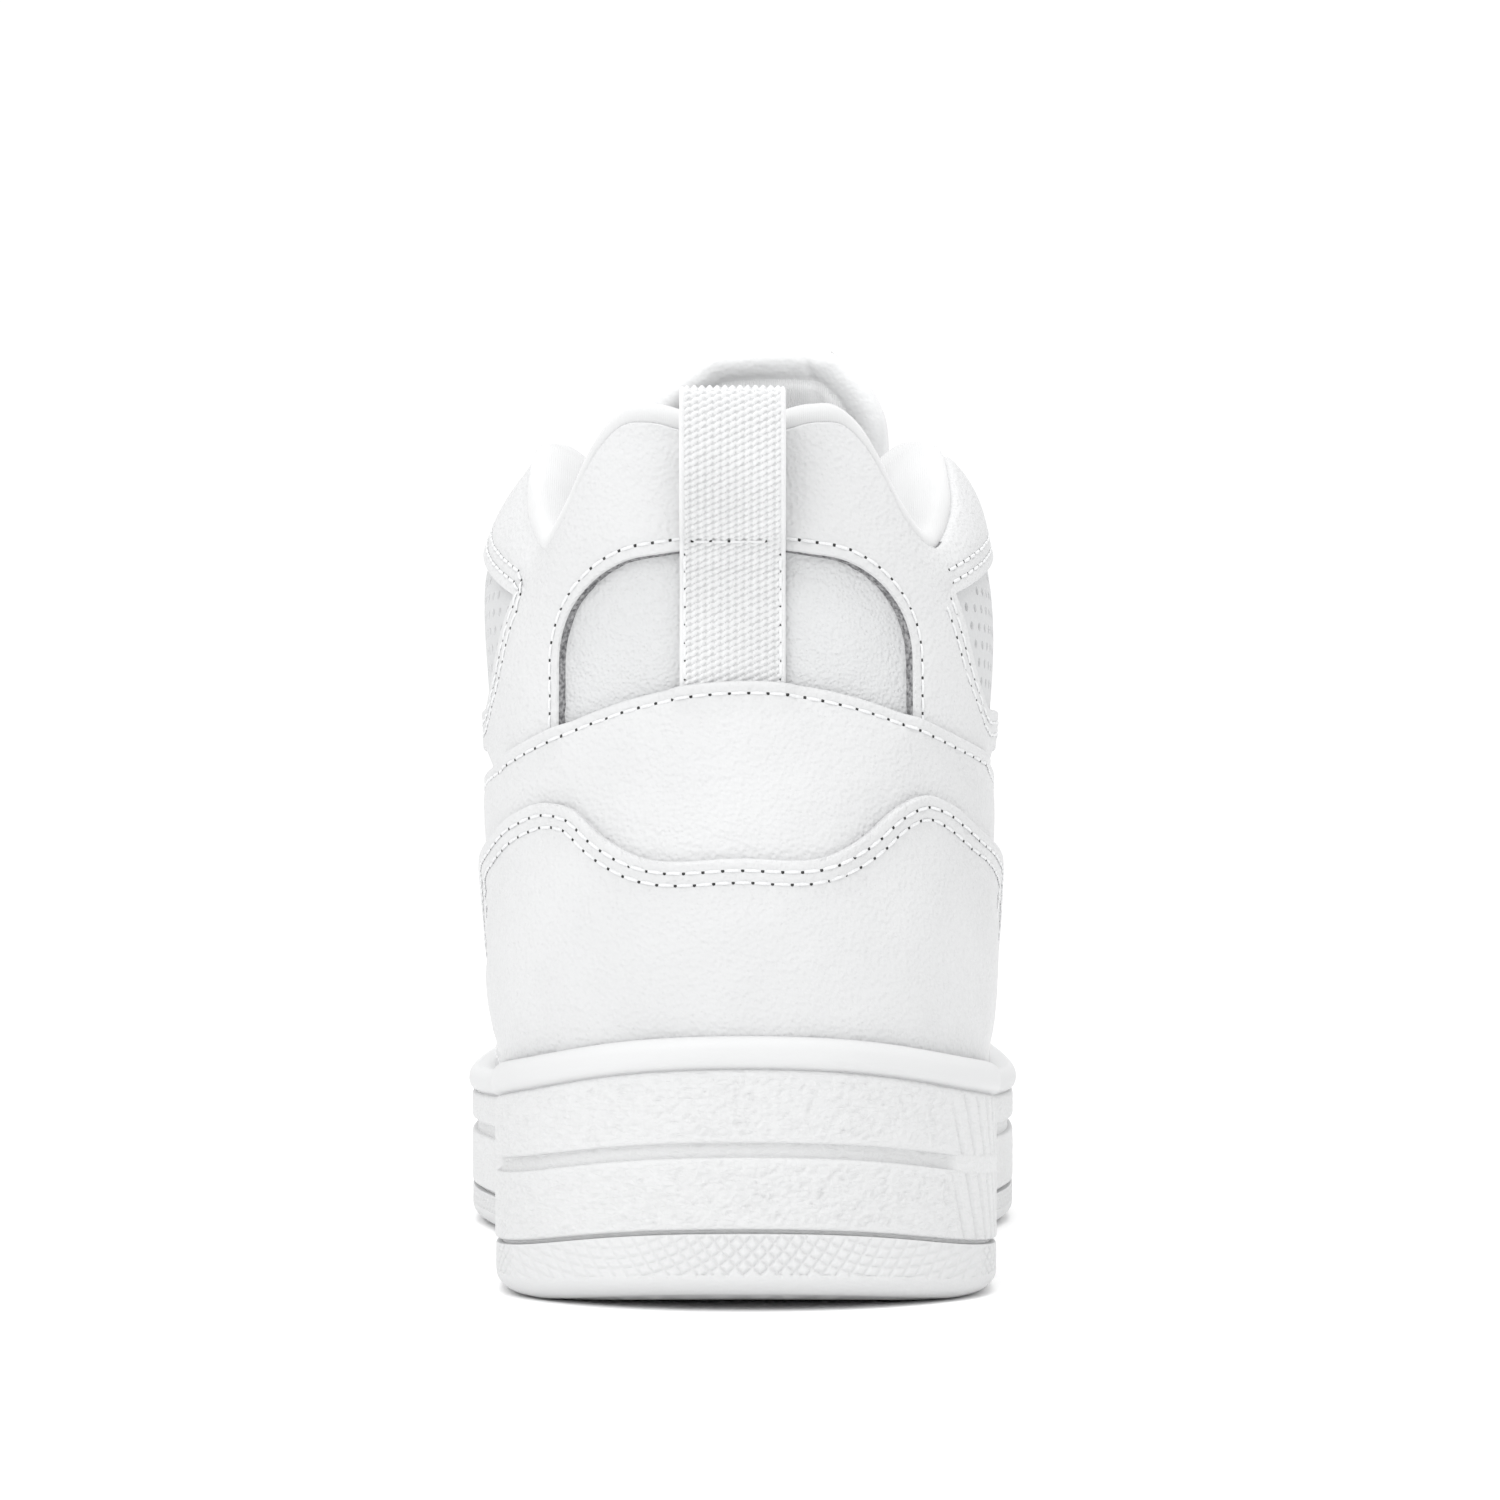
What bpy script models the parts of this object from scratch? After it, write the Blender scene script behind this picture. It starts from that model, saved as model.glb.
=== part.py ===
"""High top basketball shoe, left foot, size EU 42.

Toe towards +Y, heel towards -Y, inner (medial) side towards +X, sole on Z = 0.
All dimensions below are in millimetres and are turned into metres when a mesh is made.
"""
import bpy
import bmesh
import math
import numpy as np
from mathutils import Vector
from mathutils.geometry import delaunay_2d_cdt

for old in list(bpy.data.objects):
    bpy.data.objects.remove(old, do_unlink=True)

# ------------------------------------------------------------------ driving dimensions
MM = 0.001
HEEL_X = 0.75            # the heel stands this far to the inner side of the box centre
SOLE_BACK = -149.0
SOLE_FRONT = 149.0
SOLE_HEEL_R = 44.0       # length of the round heel end of the sole
SOLE_TOE_R = 92.0        # length of the round toe end of the sole
SOLE_TIP_X = 8.0         # the toe tip leans to the inner side
SOLE_WIDTHS_MEDIAL = (42.4, 41.5, 52.0)     # half widths at heel, waist and ball
SOLE_WIDTHS_LATERAL = (42.4, 43.5, 53.5)

LEVEL_Y = (-149.0, -127.0, -105.0, -25.0, 55.0, 149.0)   # stations of the sole's lines
GROUND = (2.3, 0.0, 0.0, 0.0, 0.0, 9.5)
PART_LINE = (13.0, 9.6, 8.4, 7.6, 7.6, 16.5)
GROOVE_LOW = (24.9, 21.2, 19.9, 18.2, 17.6, 24.0)
GROOVE_HIGH = (27.3, 23.7, 22.4, 20.6, 20.0, 26.4)
BAND_TOP = (39.1, 34.6, 32.4, 27.6, 25.0, 31.8)
BEAD_TOP = (44.6, 40.2, 38.0, 32.6, 30.0, 37.0)
GROOVE_DEPTH = 1.1
BEAD_PROUD = 0.7
FLOOR = (7.8, 7.8, 7.8, 7.6, 7.6, 15.5)      # top of the outsole inside its rim
FOOTBED = (21.0, 21.0, 21.0, 19.0, 16.5, 22.5)

GAP = 0.4                # clearance between neighbouring pieces
SKIN = 1.3               # thickness of a leather panel
OVERLAY = (0.5, 1.7)     # an overlay lies between these heights over the base panels
BAND = (0.5, 2.2)
COUNTER = (0.5, 2.6)
STIFFENER = (-3.0, -1.8)
RING = 48                # points round the sole
CELL = 11.5               # spacing of the panels' inner points

BAND_TOP_Z = 102.0       # top of the heel band at the centre back
BAND_DROP = 0.008        # it falls with the square of the distance from the centre
ARCH_X = -1.7            # centre, half width, top and corner radius of the arched window
ARCH_HALF = 28.5
ARCH_TOP = 123.2
ARCH_R = 17.0
EYELETS = 7
EYELET_R = 2.6
THROAT_HALF = 15.0       # half width of the lacing gap
EYESTAY_WIDTH = 20.0
HINGE_TONGUE = (HEEL_X, -27.0, 133.0)
WEB_HALF = 8.7           # half width of the pull strap
WEB_X = -2.2
WEB_THICK = 1.5

# ------------------------------------------------------------------ the surface of the upper
# Each ring goes once round the shoe: back end, length of the round back, front end, length
# of the round front, sideways shift of back and front, half widths (medial, lateral) at
# heel, middle and front, and heights at back, heel side, middle, front side and front.
RINGS = (
    (-141.0, 42.0, 138.0, 84.0, 0.0, 7.0, (35.5, 34.5, 43.0), (35.5, 36.0, 44.5),
     (16.0, 16.0, 14.5, 13.5, 23.0)),
    (-142.4, 43.0, 140.6, 84.0, 0.0, 7.0, (37.2, 37.0, 45.5), (37.2, 38.5, 47.0),
     (31.0, 31.0, 29.0, 27.0, 35.0)),
    (-145.4, 45.5, 133.0, 78.0, 0.0, 6.5, (40.4, 40.0, 44.0), (41.6, 41.2, 45.5),
     (47.0, 47.0, 45.0, 42.0, 48.0)),
    (-144.6, 46.0, 106.0, 62.0, 0.0, 5.0, (40.4, 40.4, 37.5), (41.8, 42.2, 38.5),
     (65.0, 65.0, 61.0, 57.0, 58.5)),
    (-140.6, 45.0, 66.0, 48.0, -0.3, 3.0, (40.8, 40.4, 33.0), (42.6, 42.2, 34.0),
     (85.0, 84.0, 79.0, 73.0, 73.0)),
    (-137.2, 45.0, 24.0, 36.0, -0.8, 1.5, (42.8, 42.1, 30.5), (43.2, 43.0, 31.5),
     (105.0, 104.0, 98.5, 94.0, 93.0)),
    (-135.2, 44.0, -8.0, 30.0, -1.6, 0.5, (42.3, 42.6, 30.0), (42.3, 43.0, 31.0),
     (125.0, 124.0, 121.0, 119.0, 120.0)),
    (-134.0, 41.0, -31.0, 26.0, -2.2, 0.0, (35.6, 35.0, 25.0), (35.6, 35.6, 26.0),
     (149.0, 147.0, 146.0, 149.0, 162.0)),
)
HALF = 10                # columns from heel to toe on each side
REAR_COLUMNS = 3
FRONT_COLUMNS = 3
TOE_POWER = 0.84         # under 1 makes the toe, up to the vamp, blunter than an ellipse


def hermite(x, xs, ys):
    """Smooth curve through a few hand-chosen stations."""
    xs = np.asarray(xs, float)
    ys = np.asarray(ys, float)
    slopes = np.gradient(ys, xs)
    x = np.clip(np.asarray(x, float), xs[0], xs[-1])
    i = np.clip(np.searchsorted(xs, x, side="right") - 1, 0, len(xs) - 2)
    h = xs[i + 1] - xs[i]
    t = (x - xs[i]) / h
    a = (1 + 2 * t) * (1 - t) ** 2
    b = t * (1 - t) ** 2
    c = t * t * (3 - 2 * t)
    d = t * t * (t - 1)
    return a * ys[i] + b * h * slopes[i] + c * ys[i + 1] + d * h * slopes[i + 1]


def ring_point(ring, k, side):
    """One column point of a ring; k counts from the heel (0) to the toe (HALF)."""
    back, rear_r, front, front_r, back_x, front_x, medial, lateral, heights = ring
    widths = medial if side > 0 else lateral
    last = HALF - FRONT_COLUMNS
    z = float(hermite(k, (0, REAR_COLUMNS, HALF / 2, last, HALF), heights))
    shift = back_x
    if k <= REAR_COLUMNS:
        angle = k / REAR_COLUMNS * math.pi / 2
        y = back + rear_r * (1 - math.cos(angle))
        x = widths[0] * math.sin(angle)
    elif k >= last:
        angle = (HALF - k) / FRONT_COLUMNS * math.pi / 2
        power = TOE_POWER if front > 100.0 else 1.0
        y = front - front_r * (1 - math.cos(angle) ** power)
        x = widths[2] * math.sin(angle) ** power
        shift += front_x * ((k - last) / FRONT_COLUMNS) ** 2
    else:
        t = (k - REAR_COLUMNS) / (last - REAR_COLUMNS)
        y = back + rear_r + t * (front - front_r - back - rear_r)
        x = float(hermite(t, (0.0, 0.5, 1.0), widths))
    return (HEEL_X + shift + side * x, y, z)


def ring_points(ring):
    right = [ring_point(ring, k, 1) for k in range(HALF + 1)]
    left = [ring_point(ring, k, -1) for k in range(HALF - 1, 0, -1)]
    return right + left


def spline_net(points):
    """Control net of a bicubic spline surface that passes through the given points."""
    rows, cols = points.shape[:2]
    across = np.zeros((cols, cols))
    for i in range(cols):
        across[i, i] = 4 / 6
        across[i, (i + 1) % cols] += 1 / 6
        across[i, (i - 1) % cols] += 1 / 6
    up = np.zeros((rows + 2, rows + 2))
    for j in range(rows):
        up[j + 1, j:j + 3] = (1 / 6, 4 / 6, 1 / 6)
    up[0, :3] = (1, -2, 1)
    up[-1, -3:] = (1, -2, 1)
    net = np.einsum("ij,rjc->ric", np.linalg.inv(across), points)
    padded = np.zeros((rows + 2, cols, 3))
    padded[1:-1] = net
    return np.einsum("ij,jkc->ikc", np.linalg.inv(up), padded)


NET = spline_net(np.array([ring_points(ring) for ring in RINGS]))


def basis(t):
    return np.stack([(1 - t) ** 3, 3 * t ** 3 - 6 * t ** 2 + 4,
                     -3 * t ** 3 + 3 * t ** 2 + 3 * t + 1, t ** 3], -1) / 6


def skin(s, v):
    """Point of the upper: s is 0 at the heel, +0.5 or -0.5 at the toe, v is 0 to 1 upwards."""
    s = np.asarray(s, float)
    v = np.asarray(v, float)
    cols = NET.shape[1]
    rows = NET.shape[0]
    u = s * cols
    i = np.floor(u).astype(int)
    w = v * (rows - 3)
    j = np.clip(np.floor(w).astype(int), 0, rows - 4)
    bu = basis(u - i)
    bw = basis(w - j)
    total = 0.0
    for a in range(4):
        for b in range(4):
            weight = (bu[..., a] * bw[..., b])[..., None]
            total = total + weight * NET[j + b, (i + a - 1) % cols]
    return total


def normal(s, v):
    e = 0.002
    ds = skin(s + e, v) - skin(s - e, v)
    dv = skin(s, v + e) - skin(s, v - e)
    n = np.cross(ds, dv)
    return n / np.linalg.norm(n, axis=-1, keepdims=True)


def lifted(s, v, off):
    return skin(s, v) + normal(s, v) * np.asarray(off, float)[..., None]


GRID_S, GRID_V = np.meshgrid(np.linspace(0, 1, 361), np.linspace(0, 1.02, 161), indexing="ij")
GRID_P = skin(GRID_S, GRID_V)


def find(axes, target, where):
    """Surface coordinates of the point whose two given world coordinates match."""
    d = (GRID_P[..., axes[0]] - target[0]) ** 2 + (GRID_P[..., axes[1]] - target[1]) ** 2
    best = np.argmin(np.where(where, d, 1e9))
    s = GRID_S.flat[best]
    v = GRID_V.flat[best]
    e = 1e-3
    for _ in range(6):
        p = skin(s, v)[list(axes)]
        a = (skin(s + e, v)[list(axes)] - p) / e
        b = (skin(s, v + e)[list(axes)] - p) / e
        det = a[0] * b[1] - a[1] * b[0]
        if abs(det) < 1e-6:
            break
        r = np.array(target) - p
        s += np.clip((r[0] * b[1] - r[1] * b[0]) / det, -0.01, 0.01)
        v += np.clip((a[0] * r[1] - a[1] * r[0]) / det, -0.02, 0.02)
    return (s, v)


def rear(x, z):
    where = (np.abs((GRID_S + 0.5) % 1 - 0.5) < 0.17)
    s, v = find((0, 2), (x + HEEL_X, z), where)
    return ((s + 0.5) % 1 - 0.5, v)


def flank(side, y, z):
    """A point given in side view; side is +1 for the inner and -1 for the outer side."""
    centred = (GRID_S + 0.5) % 1 - 0.5
    s, v = find((1, 2), (y, z), centred * side > 0.004)
    return ((s + 0.5) % 1 - 0.5, v)


def above(x, y):
    """A point of the forefoot given in top view."""
    centred = np.abs((GRID_S + 0.5) % 1 - 0.5)
    where = (centred > 0.3) & (GRID_V > 0.2)
    s, v = find((0, 1), (x + HEEL_X, y), where)
    return ((s + 0.5) % 1 - 0.5, v)


def wrap(point):
    """The same coordinates counted from 0 to 1, for pieces that cross the toe."""
    return (point[0] % 1, point[1])


def height_v(s, z):
    """The v at which the column s has the height z."""
    vs = np.linspace(0, 1.03, 120)
    zs = skin(np.full_like(vs, s), vs)[:, 2]
    return float(np.interp(z, np.maximum.accumulate(zs), vs))


# ------------------------------------------------------------------ mesh helpers
def material(name, colour, roughness, metallic=0.0):
    mat = bpy.data.materials.get(name)
    if mat:
        return mat
    mat = bpy.data.materials.new(name)
    mat.use_nodes = True
    shader = mat.node_tree.nodes["Principled BSDF"]
    shader.inputs["Base Color"].default_value = (*colour, 1)
    shader.inputs["Roughness"].default_value = roughness
    shader.inputs["Metallic"].default_value = metallic
    return mat


LEATHER = ("white_leather", (0.83, 0.84, 0.84), 0.5)
FABRIC = ("white_fabric", (0.80, 0.81, 0.82), 0.9)
RUBBER = ("white_rubber", (0.80, 0.81, 0.82), 0.6)
FOAM = ("foam", (0.75, 0.74, 0.70), 0.9)
BOARD = ("fibre_board", (0.55, 0.50, 0.42), 0.85)
WEBBING = ("white_webbing", (0.82, 0.83, 0.84), 0.85)


def solid(name, points, faces, look, origin=None):
    """Closed mesh object from points in millimetres, its origin on the given point."""
    base = Vector(origin or (0.0, 0.0, 0.0))
    mesh = bpy.data.meshes.new(name)
    mesh.from_pydata([((Vector(p) - base) * MM)[:] for p in points], [], faces)
    bm = bmesh.new()
    bm.from_mesh(mesh)
    bmesh.ops.triangulate(bm, faces=bm.faces)
    bmesh.ops.recalc_face_normals(bm, faces=bm.faces)
    if bm.calc_volume(signed=True) < 0:
        bmesh.ops.reverse_faces(bm, faces=bm.faces)
    bm.to_mesh(mesh)
    bm.free()
    mesh.shade_smooth()
    mesh.set_sharp_from_angle(angle=math.radians(35))
    obj = bpy.data.objects.new(name, mesh)
    obj.location = base * MM
    mesh.materials.append(material(*look))
    bpy.context.scene.collection.objects.link(obj)
    return obj


def inside(point, loop):
    hit = False
    x, y = point
    for (x0, y0), (x1, y1) in zip(loop, loop[1:] + loop[:1]):
        if (y0 > y) != (y1 > y) and x < (x1 - x0) * (y - y0) / (y1 - y0) + x0:
            hit = not hit
    return hit


def edge_distance(point, loop):
    p = np.array(point)
    a = np.array(loop)
    b = np.roll(a, -1, axis=0)
    d = b - a
    t = np.clip(((p - a) * d).sum(1) / np.maximum((d * d).sum(1), 1e-12), 0, 1)
    return float(np.sqrt((((a + d * t[:, None]) - p) ** 2).sum(1).min()))


def mesh_plane(loops, cell):
    """Triangles of a flat outline with holes, with inner points on a shared lattice."""
    verts = []
    edges = []
    for loop in loops:
        first = len(verts)
        verts += loop
        edges += [(first + i, first + (i + 1) % len(loop)) for i in range(len(loop))]
    outer = np.array(loops[0])
    low = np.floor(outer.min(0) / cell).astype(int)
    high = np.ceil(outer.max(0) / cell).astype(int)
    for i in range(low[0], high[0] + 1):
        for j in range(low[1], high[1] + 1):
            p = ((i + 0.5 * (j % 2)) * cell, j * cell)
            if not inside(p, loops[0]) or any(inside(p, hole) for hole in loops[1:]):
                continue
            if min(edge_distance(p, loop) for loop in loops) > 0.45 * cell:
                verts.append(p)
    out = delaunay_2d_cdt([Vector(p) for p in verts], edges, [], 1, 1e-6)
    flat = [tuple(p) for p in out[0]]
    faces = []
    for face in out[2]:
        mid = np.mean([flat[i] for i in face], axis=0)
        if inside(mid, loops[0]) and not any(inside(mid, hole) for hole in loops[1:]):
            faces.append(tuple(face))
    return flat, faces


def thick(flat, faces, low, high):
    """Closes a meshed outline between its lower and its upper points."""
    count = len(flat)
    points = [tuple(p) for p in low] + [tuple(p) for p in high]
    shell = [tuple(reversed(f)) for f in faces]
    shell += [tuple(i + count for i in f) for f in faces]
    sides = {}
    for f in faces:
        for a, b in zip(f, f[1:] + f[:1]):
            sides[(a, b)] = True
    for a, b in sides:
        if (b, a) not in sides:
            shell.append((a, b, b + count, a + count))
    used = sorted({i for f in shell for i in f})
    place = {old: new for new, old in enumerate(used)}
    return [points[i] for i in used], [tuple(place[i] for i in f) for f in shell]


SCALE_S = 560.0
SCALE_V = 150.0


def panel(name, outline, offsets, look, holes=(), cell=CELL, origin=None):
    """A sheet that follows the upper, from one offset to another, inside an outline."""
    loops = []
    for loop in [outline, *holes]:
        loops.append([(s * SCALE_S, v * SCALE_V) for s, v in loop])
    flat, faces = mesh_plane(loops, cell)
    s = np.array([p[0] for p in flat]) / SCALE_S
    v = np.array([p[1] for p in flat]) / SCALE_V
    low = offsets[0](s, v) if callable(offsets[0]) else np.full_like(s, offsets[0])
    high = offsets[1](s, v) if callable(offsets[1]) else np.full_like(s, offsets[1])
    points, shell = thick(flat, faces, lifted(s, v, low), lifted(s, v, high))
    return solid(name, points, shell, look, origin)


def run(points, step=11.0):
    """Evenly spaced points of a smooth curve through surface points, ends included."""
    pts = np.array(points, float)
    if len(pts) == 2:
        dense = pts[0] + (pts[1] - pts[0]) * np.linspace(0, 1, 60)[:, None]
    else:
        chord = np.r_[0, np.cumsum(np.linalg.norm(np.diff(pts * (SCALE_S, SCALE_V), axis=0),
                                                  axis=1))]
        t = np.linspace(0, chord[-1], 40 * len(pts))
        dense = np.stack([hermite(t, chord, pts[:, 0]), hermite(t, chord, pts[:, 1])], 1)
    length = np.r_[0, np.cumsum(np.linalg.norm(np.diff(dense * (SCALE_S, SCALE_V), axis=0),
                                               axis=1))]
    count = max(1, round(length[-1] / step))
    at = np.linspace(0, length[-1], count + 1)
    return list(zip(np.interp(at, length, dense[:, 0]), np.interp(at, length, dense[:, 1])))


def chain(*parts):
    """One closed outline from runs that follow one another."""
    loop = []
    for part in parts:
        for p in part:
            if not loop or math.dist(p, loop[-1]) > 1e-4:
                loop.append(tuple(p))
    if math.dist(loop[0], loop[-1]) < 1e-4:
        loop.pop()
    return loop


def loft(name, rings, look, closed=False, origin=None):
    """Solid through rings of equally many points, with flat-filled or joined ends."""
    count = len(rings[0])
    points = [tuple(p) for ring in rings for p in ring]
    faces = []
    last = len(rings) if closed else len(rings) - 1
    for j in range(last):
        a = j * count
        b = (j + 1) % len(rings) * count
        for i in range(count):
            k = (i + 1) % count
            faces.append((a + i, a + k, b + k, b + i))
    if not closed:
        faces.append(tuple(reversed(range(count))))
        faces.append(tuple(range((len(rings) - 1) * count, len(rings) * count)))
    return solid(name, points, faces, look, origin)


# ------------------------------------------------------------------ outlines on the upper
def band_front(side, lower=0.0):
    """The band's upper edge from the widest point forwards, falling to the waist."""
    return [flank(side, y, z - lower) for y, z in ((-84, 86.0), (-60, 84.5), (-34, 80.0),
                                                   (-8, 68.0), (10, 50.0), (19, 36.0))]


def counter_line(side, lower=0.0, shift=0.0):
    """The wavy upper edge of the heel counter from the centre to where it meets the sole."""
    rise = 83.2 if side > 0 else 82.0
    peak = 27.5 if side > 0 else 31.5
    near = [(side * 1.0, 72.8), (side * (peak - 14.5), 73.4), (side * (peak - 9.5), 76.4),
            (side * (peak - 4.5), 81.0), (side * peak, rise), (side * (peak + 4.0), rise - 1.4),
            (side * (peak + 8.0), rise - 5.0)]
    far = [(-86.0, 68.0), (-70.0, 58.0), (-56.0, 46.0), (-48.0, 33.0)]
    points = [rear(x, z - lower) for x, z in near]
    return points + [flank(side, y + shift, z - lower) for y, z in far]


TOPLINE_REAR = ((0.0, 143.0), (7.0, 143.6), (13.5, 145.2), (18.0, 144.6), (21.5, 141.0),
                (24.5, 136.0), (28.0, 129.5), (31.5, 125.8))
TOPLINE_FLANK = ((-106.0, 131.5), (-95.0, 138.5), (-80.0, 142.6), (-64.0, 143.2),
                 (-50.0, 141.0))
TOPLINE_X = -2.2         # the raised heel tab is centred here


def topline(side, lower=0.0):
    """The leather's upper edge from the centre back to the top of the eyestay."""
    near = [rear(TOPLINE_X + side * x, z - lower) for x, z in TOPLINE_REAR]
    return near + [flank(side, y, z - lower) for y, z in TOPLINE_FLANK]


def throat(side, out=0.0):
    """The edge of the lacing gap from its round lower end up to the collar."""
    stations = ((44.0, 0.62), (30.0, 0.92), (12.0, 1.0), (-4.0, 1.0), (-18.0, 1.05))
    points = [above(side * (THROAT_HALF * f + out), y) for y, f in stations]
    return points


def both(line, **extra):
    """A run from the outer side round the heel to the inner side."""
    left = line(-1, **extra)
    right = line(1, **extra)
    return list(reversed(left)) + right[1:]


FEATHER_V = 0.04


def feather(s0, s1):
    return [(s0 + (s1 - s0) * t, FEATHER_V) for t in np.linspace(0, 1, 7)]


# ------------------------------------------------------------------ sole
def level(values, y):
    return hermite(y, LEVEL_Y, values)


def sole_net():
    ring = (SOLE_BACK, SOLE_HEEL_R, SOLE_FRONT, SOLE_TOE_R, 0.0, SOLE_TIP_X,
            SOLE_WIDTHS_MEDIAL, SOLE_WIDTHS_LATERAL, (0.0,) * 5)
    return spline_net(np.array([ring_points(ring)] * 4))[2]


SOLE_NET = sole_net()


def outline_at(s):
    """The sole's outline in plan at the surface coordinate s."""
    cols = len(SOLE_NET)
    u = np.asarray(s, float) * cols
    i = np.floor(u).astype(int)
    b = basis(u - i)
    return sum(b[:, a:a + 1] * SOLE_NET[(i + a - 1) % cols] for a in range(4))[:, :2]


def sole_ring(off, count=RING):
    """The sole's outline moved outwards by off; its points lie closest at heel and toe."""
    s = np.arange(count) / count
    step = outline_at(s + 0.002) - outline_at(s - 0.002)
    out = np.stack([step[:, 1], -step[:, 0]], 1)
    out /= np.linalg.norm(out, axis=1, keepdims=True)
    return outline_at(s) + out * off


def with_height(plan, values, lift=0.0):
    """Puts the points of a plan on one of the sole's levels, never under the floor."""
    return [(x, y, max(float(level(values, y)), 0.0) + lift) for x, y in plan]


def stack(name, rings, look, ends):
    """Solid of rings whose first and last are filled along their own levels."""
    count = len(rings[0])
    points = [tuple(p) for ring in rings for p in ring]
    faces = []
    for j in range(len(rings) - 1):
        for i in range(count):
            k = (i + 1) % count
            faces.append((j * count + i, j * count + k, (j + 1) * count + k, (j + 1) * count + i))
    for ring, (values, lift), first in ((rings[0], ends[0], 0),
                                        (rings[-1], ends[1], (len(rings) - 1) * count)):
        plan = [(p[0], p[1]) for p in ring]
        flat, tris = mesh_plane([plan], 16.0)
        place = {}
        for n, (x, y) in enumerate(flat):
            d = [abs(x - a) + abs(y - b) for a, b in plan]
            m = int(np.argmin(d))
            if d[m] < 1e-3:
                place[n] = first + m
            else:
                place[n] = len(points)
                points.append((x, y, max(float(level(values, y)), 0.0) + lift))
        faces += [tuple(place[i] for i in f) for f in tris]
    return solid(name, points, faces, look)


def outsole():
    rings = [with_height(sole_ring(-7.0), GROUND),
             with_height(sole_ring(-2.0), GROUND, 0.5),
             with_height(sole_ring(-0.3), GROUND, 2.4),
             with_height(sole_ring(0.0), GROUND, 4.0),
             with_height(sole_ring(0.0), PART_LINE, -0.4),
             with_height(sole_ring(-3.0), PART_LINE, -0.4),
             with_height(sole_ring(-8.0), FLOOR)]
    stack("outsole", rings, RUBBER, ((GROUND, 0.0), (FLOOR, 0.0)))


def upper_ring(values, off, lift=0.0):
    """The ring where the upper, thickened by off, crosses a level of the sole."""
    out = []
    for k, (_, y) in enumerate(sole_ring(0.0)):
        s = k / RING
        z = float(level(values, y)) + lift
        p = lifted(np.array(s), np.array(height_v(s, z)), np.array(off))
        out.append((float(p[0]), float(p[1]), z))
    return out


def midsole_cup():
    clear = 3.2
    rings = [with_height(sole_ring(-8.0), FLOOR, 0.4),
             with_height(sole_ring(-3.0), PART_LINE, 0.0),
             with_height(sole_ring(-0.4), PART_LINE, 0.0),
             with_height(sole_ring(0.0), PART_LINE, 0.6),
             with_height(sole_ring(0.0), GROOVE_LOW),
             with_height(sole_ring(-GROOVE_DEPTH), GROOVE_LOW, 0.3),
             with_height(sole_ring(-GROOVE_DEPTH), GROOVE_HIGH, -0.3),
             with_height(sole_ring(0.0), GROOVE_HIGH),
             with_height(sole_ring(0.0), BAND_TOP, -0.5),
             with_height(sole_ring(-0.7), BAND_TOP, 0.0),
             with_height(sole_ring(BEAD_PROUD - 0.1), BAND_TOP, 0.9),
             with_height(sole_ring(BEAD_PROUD), BEAD_TOP, -2.0),
             with_height(sole_ring(0.2), BEAD_TOP, 0.0),
             upper_ring(BEAD_TOP, clear, -0.3),
             upper_ring(BAND_TOP, clear, -1.0),
             upper_ring(GROOVE_HIGH, clear, 0.0),
             with_height(sole_ring(-8.5), FLOOR, 8.0),
             with_height(sole_ring(-10.5), FLOOR, 4.0)]
    stack("midsole_cup", rings, RUBBER, ((FLOOR, 0.4), (FLOOR, 4.0)))


def slab(name, off, bottom, bottom_lift, top, top_lift, look, count=32):
    rings = [with_height(sole_ring(off, count), bottom, bottom_lift),
             with_height(sole_ring(off, count), top, top_lift)]
    stack(name, rings, look, ((bottom, bottom_lift), (top, top_lift)))


def sole_parts():
    outsole()
    midsole_cup()
    slab("midsole_foam", -13.5, FLOOR, 4.4, FOOTBED, 0.0, FOAM)
    slab("insole_board", -13.5, FOOTBED, 0.4, FOOTBED, 1.8, BOARD)
    slab("sockliner", -14.0, FOOTBED, 2.2, FOOTBED, 6.2, FABRIC)


# ------------------------------------------------------------------ base panels of the upper
SEAM_Y = ((24.0, 20.0), (26.0, 36.0), (30.0, 56.0), (36.0, 72.0))    # vamp to quarter, side view


def vamp_seam(side, back=0.0):
    points = [flank(side, y - back, z) for y, z in SEAM_Y]
    return points + [above(side * THROAT_HALF * 0.70, 40.0 - back)]


REAR_SEAM_X = 34.0       # the quarters meet the heel panel here


def rear_seam(side, back=0.0):
    return [rear(side * (REAR_SEAM_X - back), z) for z in (125.0, 105.0, 85.0, 65.0, 45.0, 31.0)]


def quarter_top(side, lower=0.0):
    """Upper edge of a quarter from the rear seam over the ankle and down the throat."""
    return [flank(side, y, z - lower - GAP) for y, z in TOPLINE_FLANK]


def eyestay_inner(side, out=0.0):
    points = throat(side, out)
    top = flank(side, -34.0, 137.0)
    return points + [top]


def quarter(side):
    name = "quarter_medial" if side > 0 else "quarter_lateral"
    seam = rear_seam(side)
    bottom = feather(side * abs(seam[-1][0]), flank(side, 22.0, 22.0)[0])
    front = vamp_seam(side, back=0.8)
    edge = [p for p in throat(side) if abs(p[0]) < abs(front[-1][0]) + 0.05][1:]
    edge = [front[-1]] + edge + [flank(side, -34.0, 138.0)]
    top = list(reversed(quarter_top(side)))
    outline = chain(run(seam), bottom, run([bottom[-1]] + front[1:]), run(edge),
                    run([edge[-1]] + top), run([top[-1], seam[0]]))
    holes = [octagon(side, n, EYELET_R) for n in range(EYELETS)]
    return panel(name, outline, (-SKIN, 0.0), LEATHER, holes)


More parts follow.
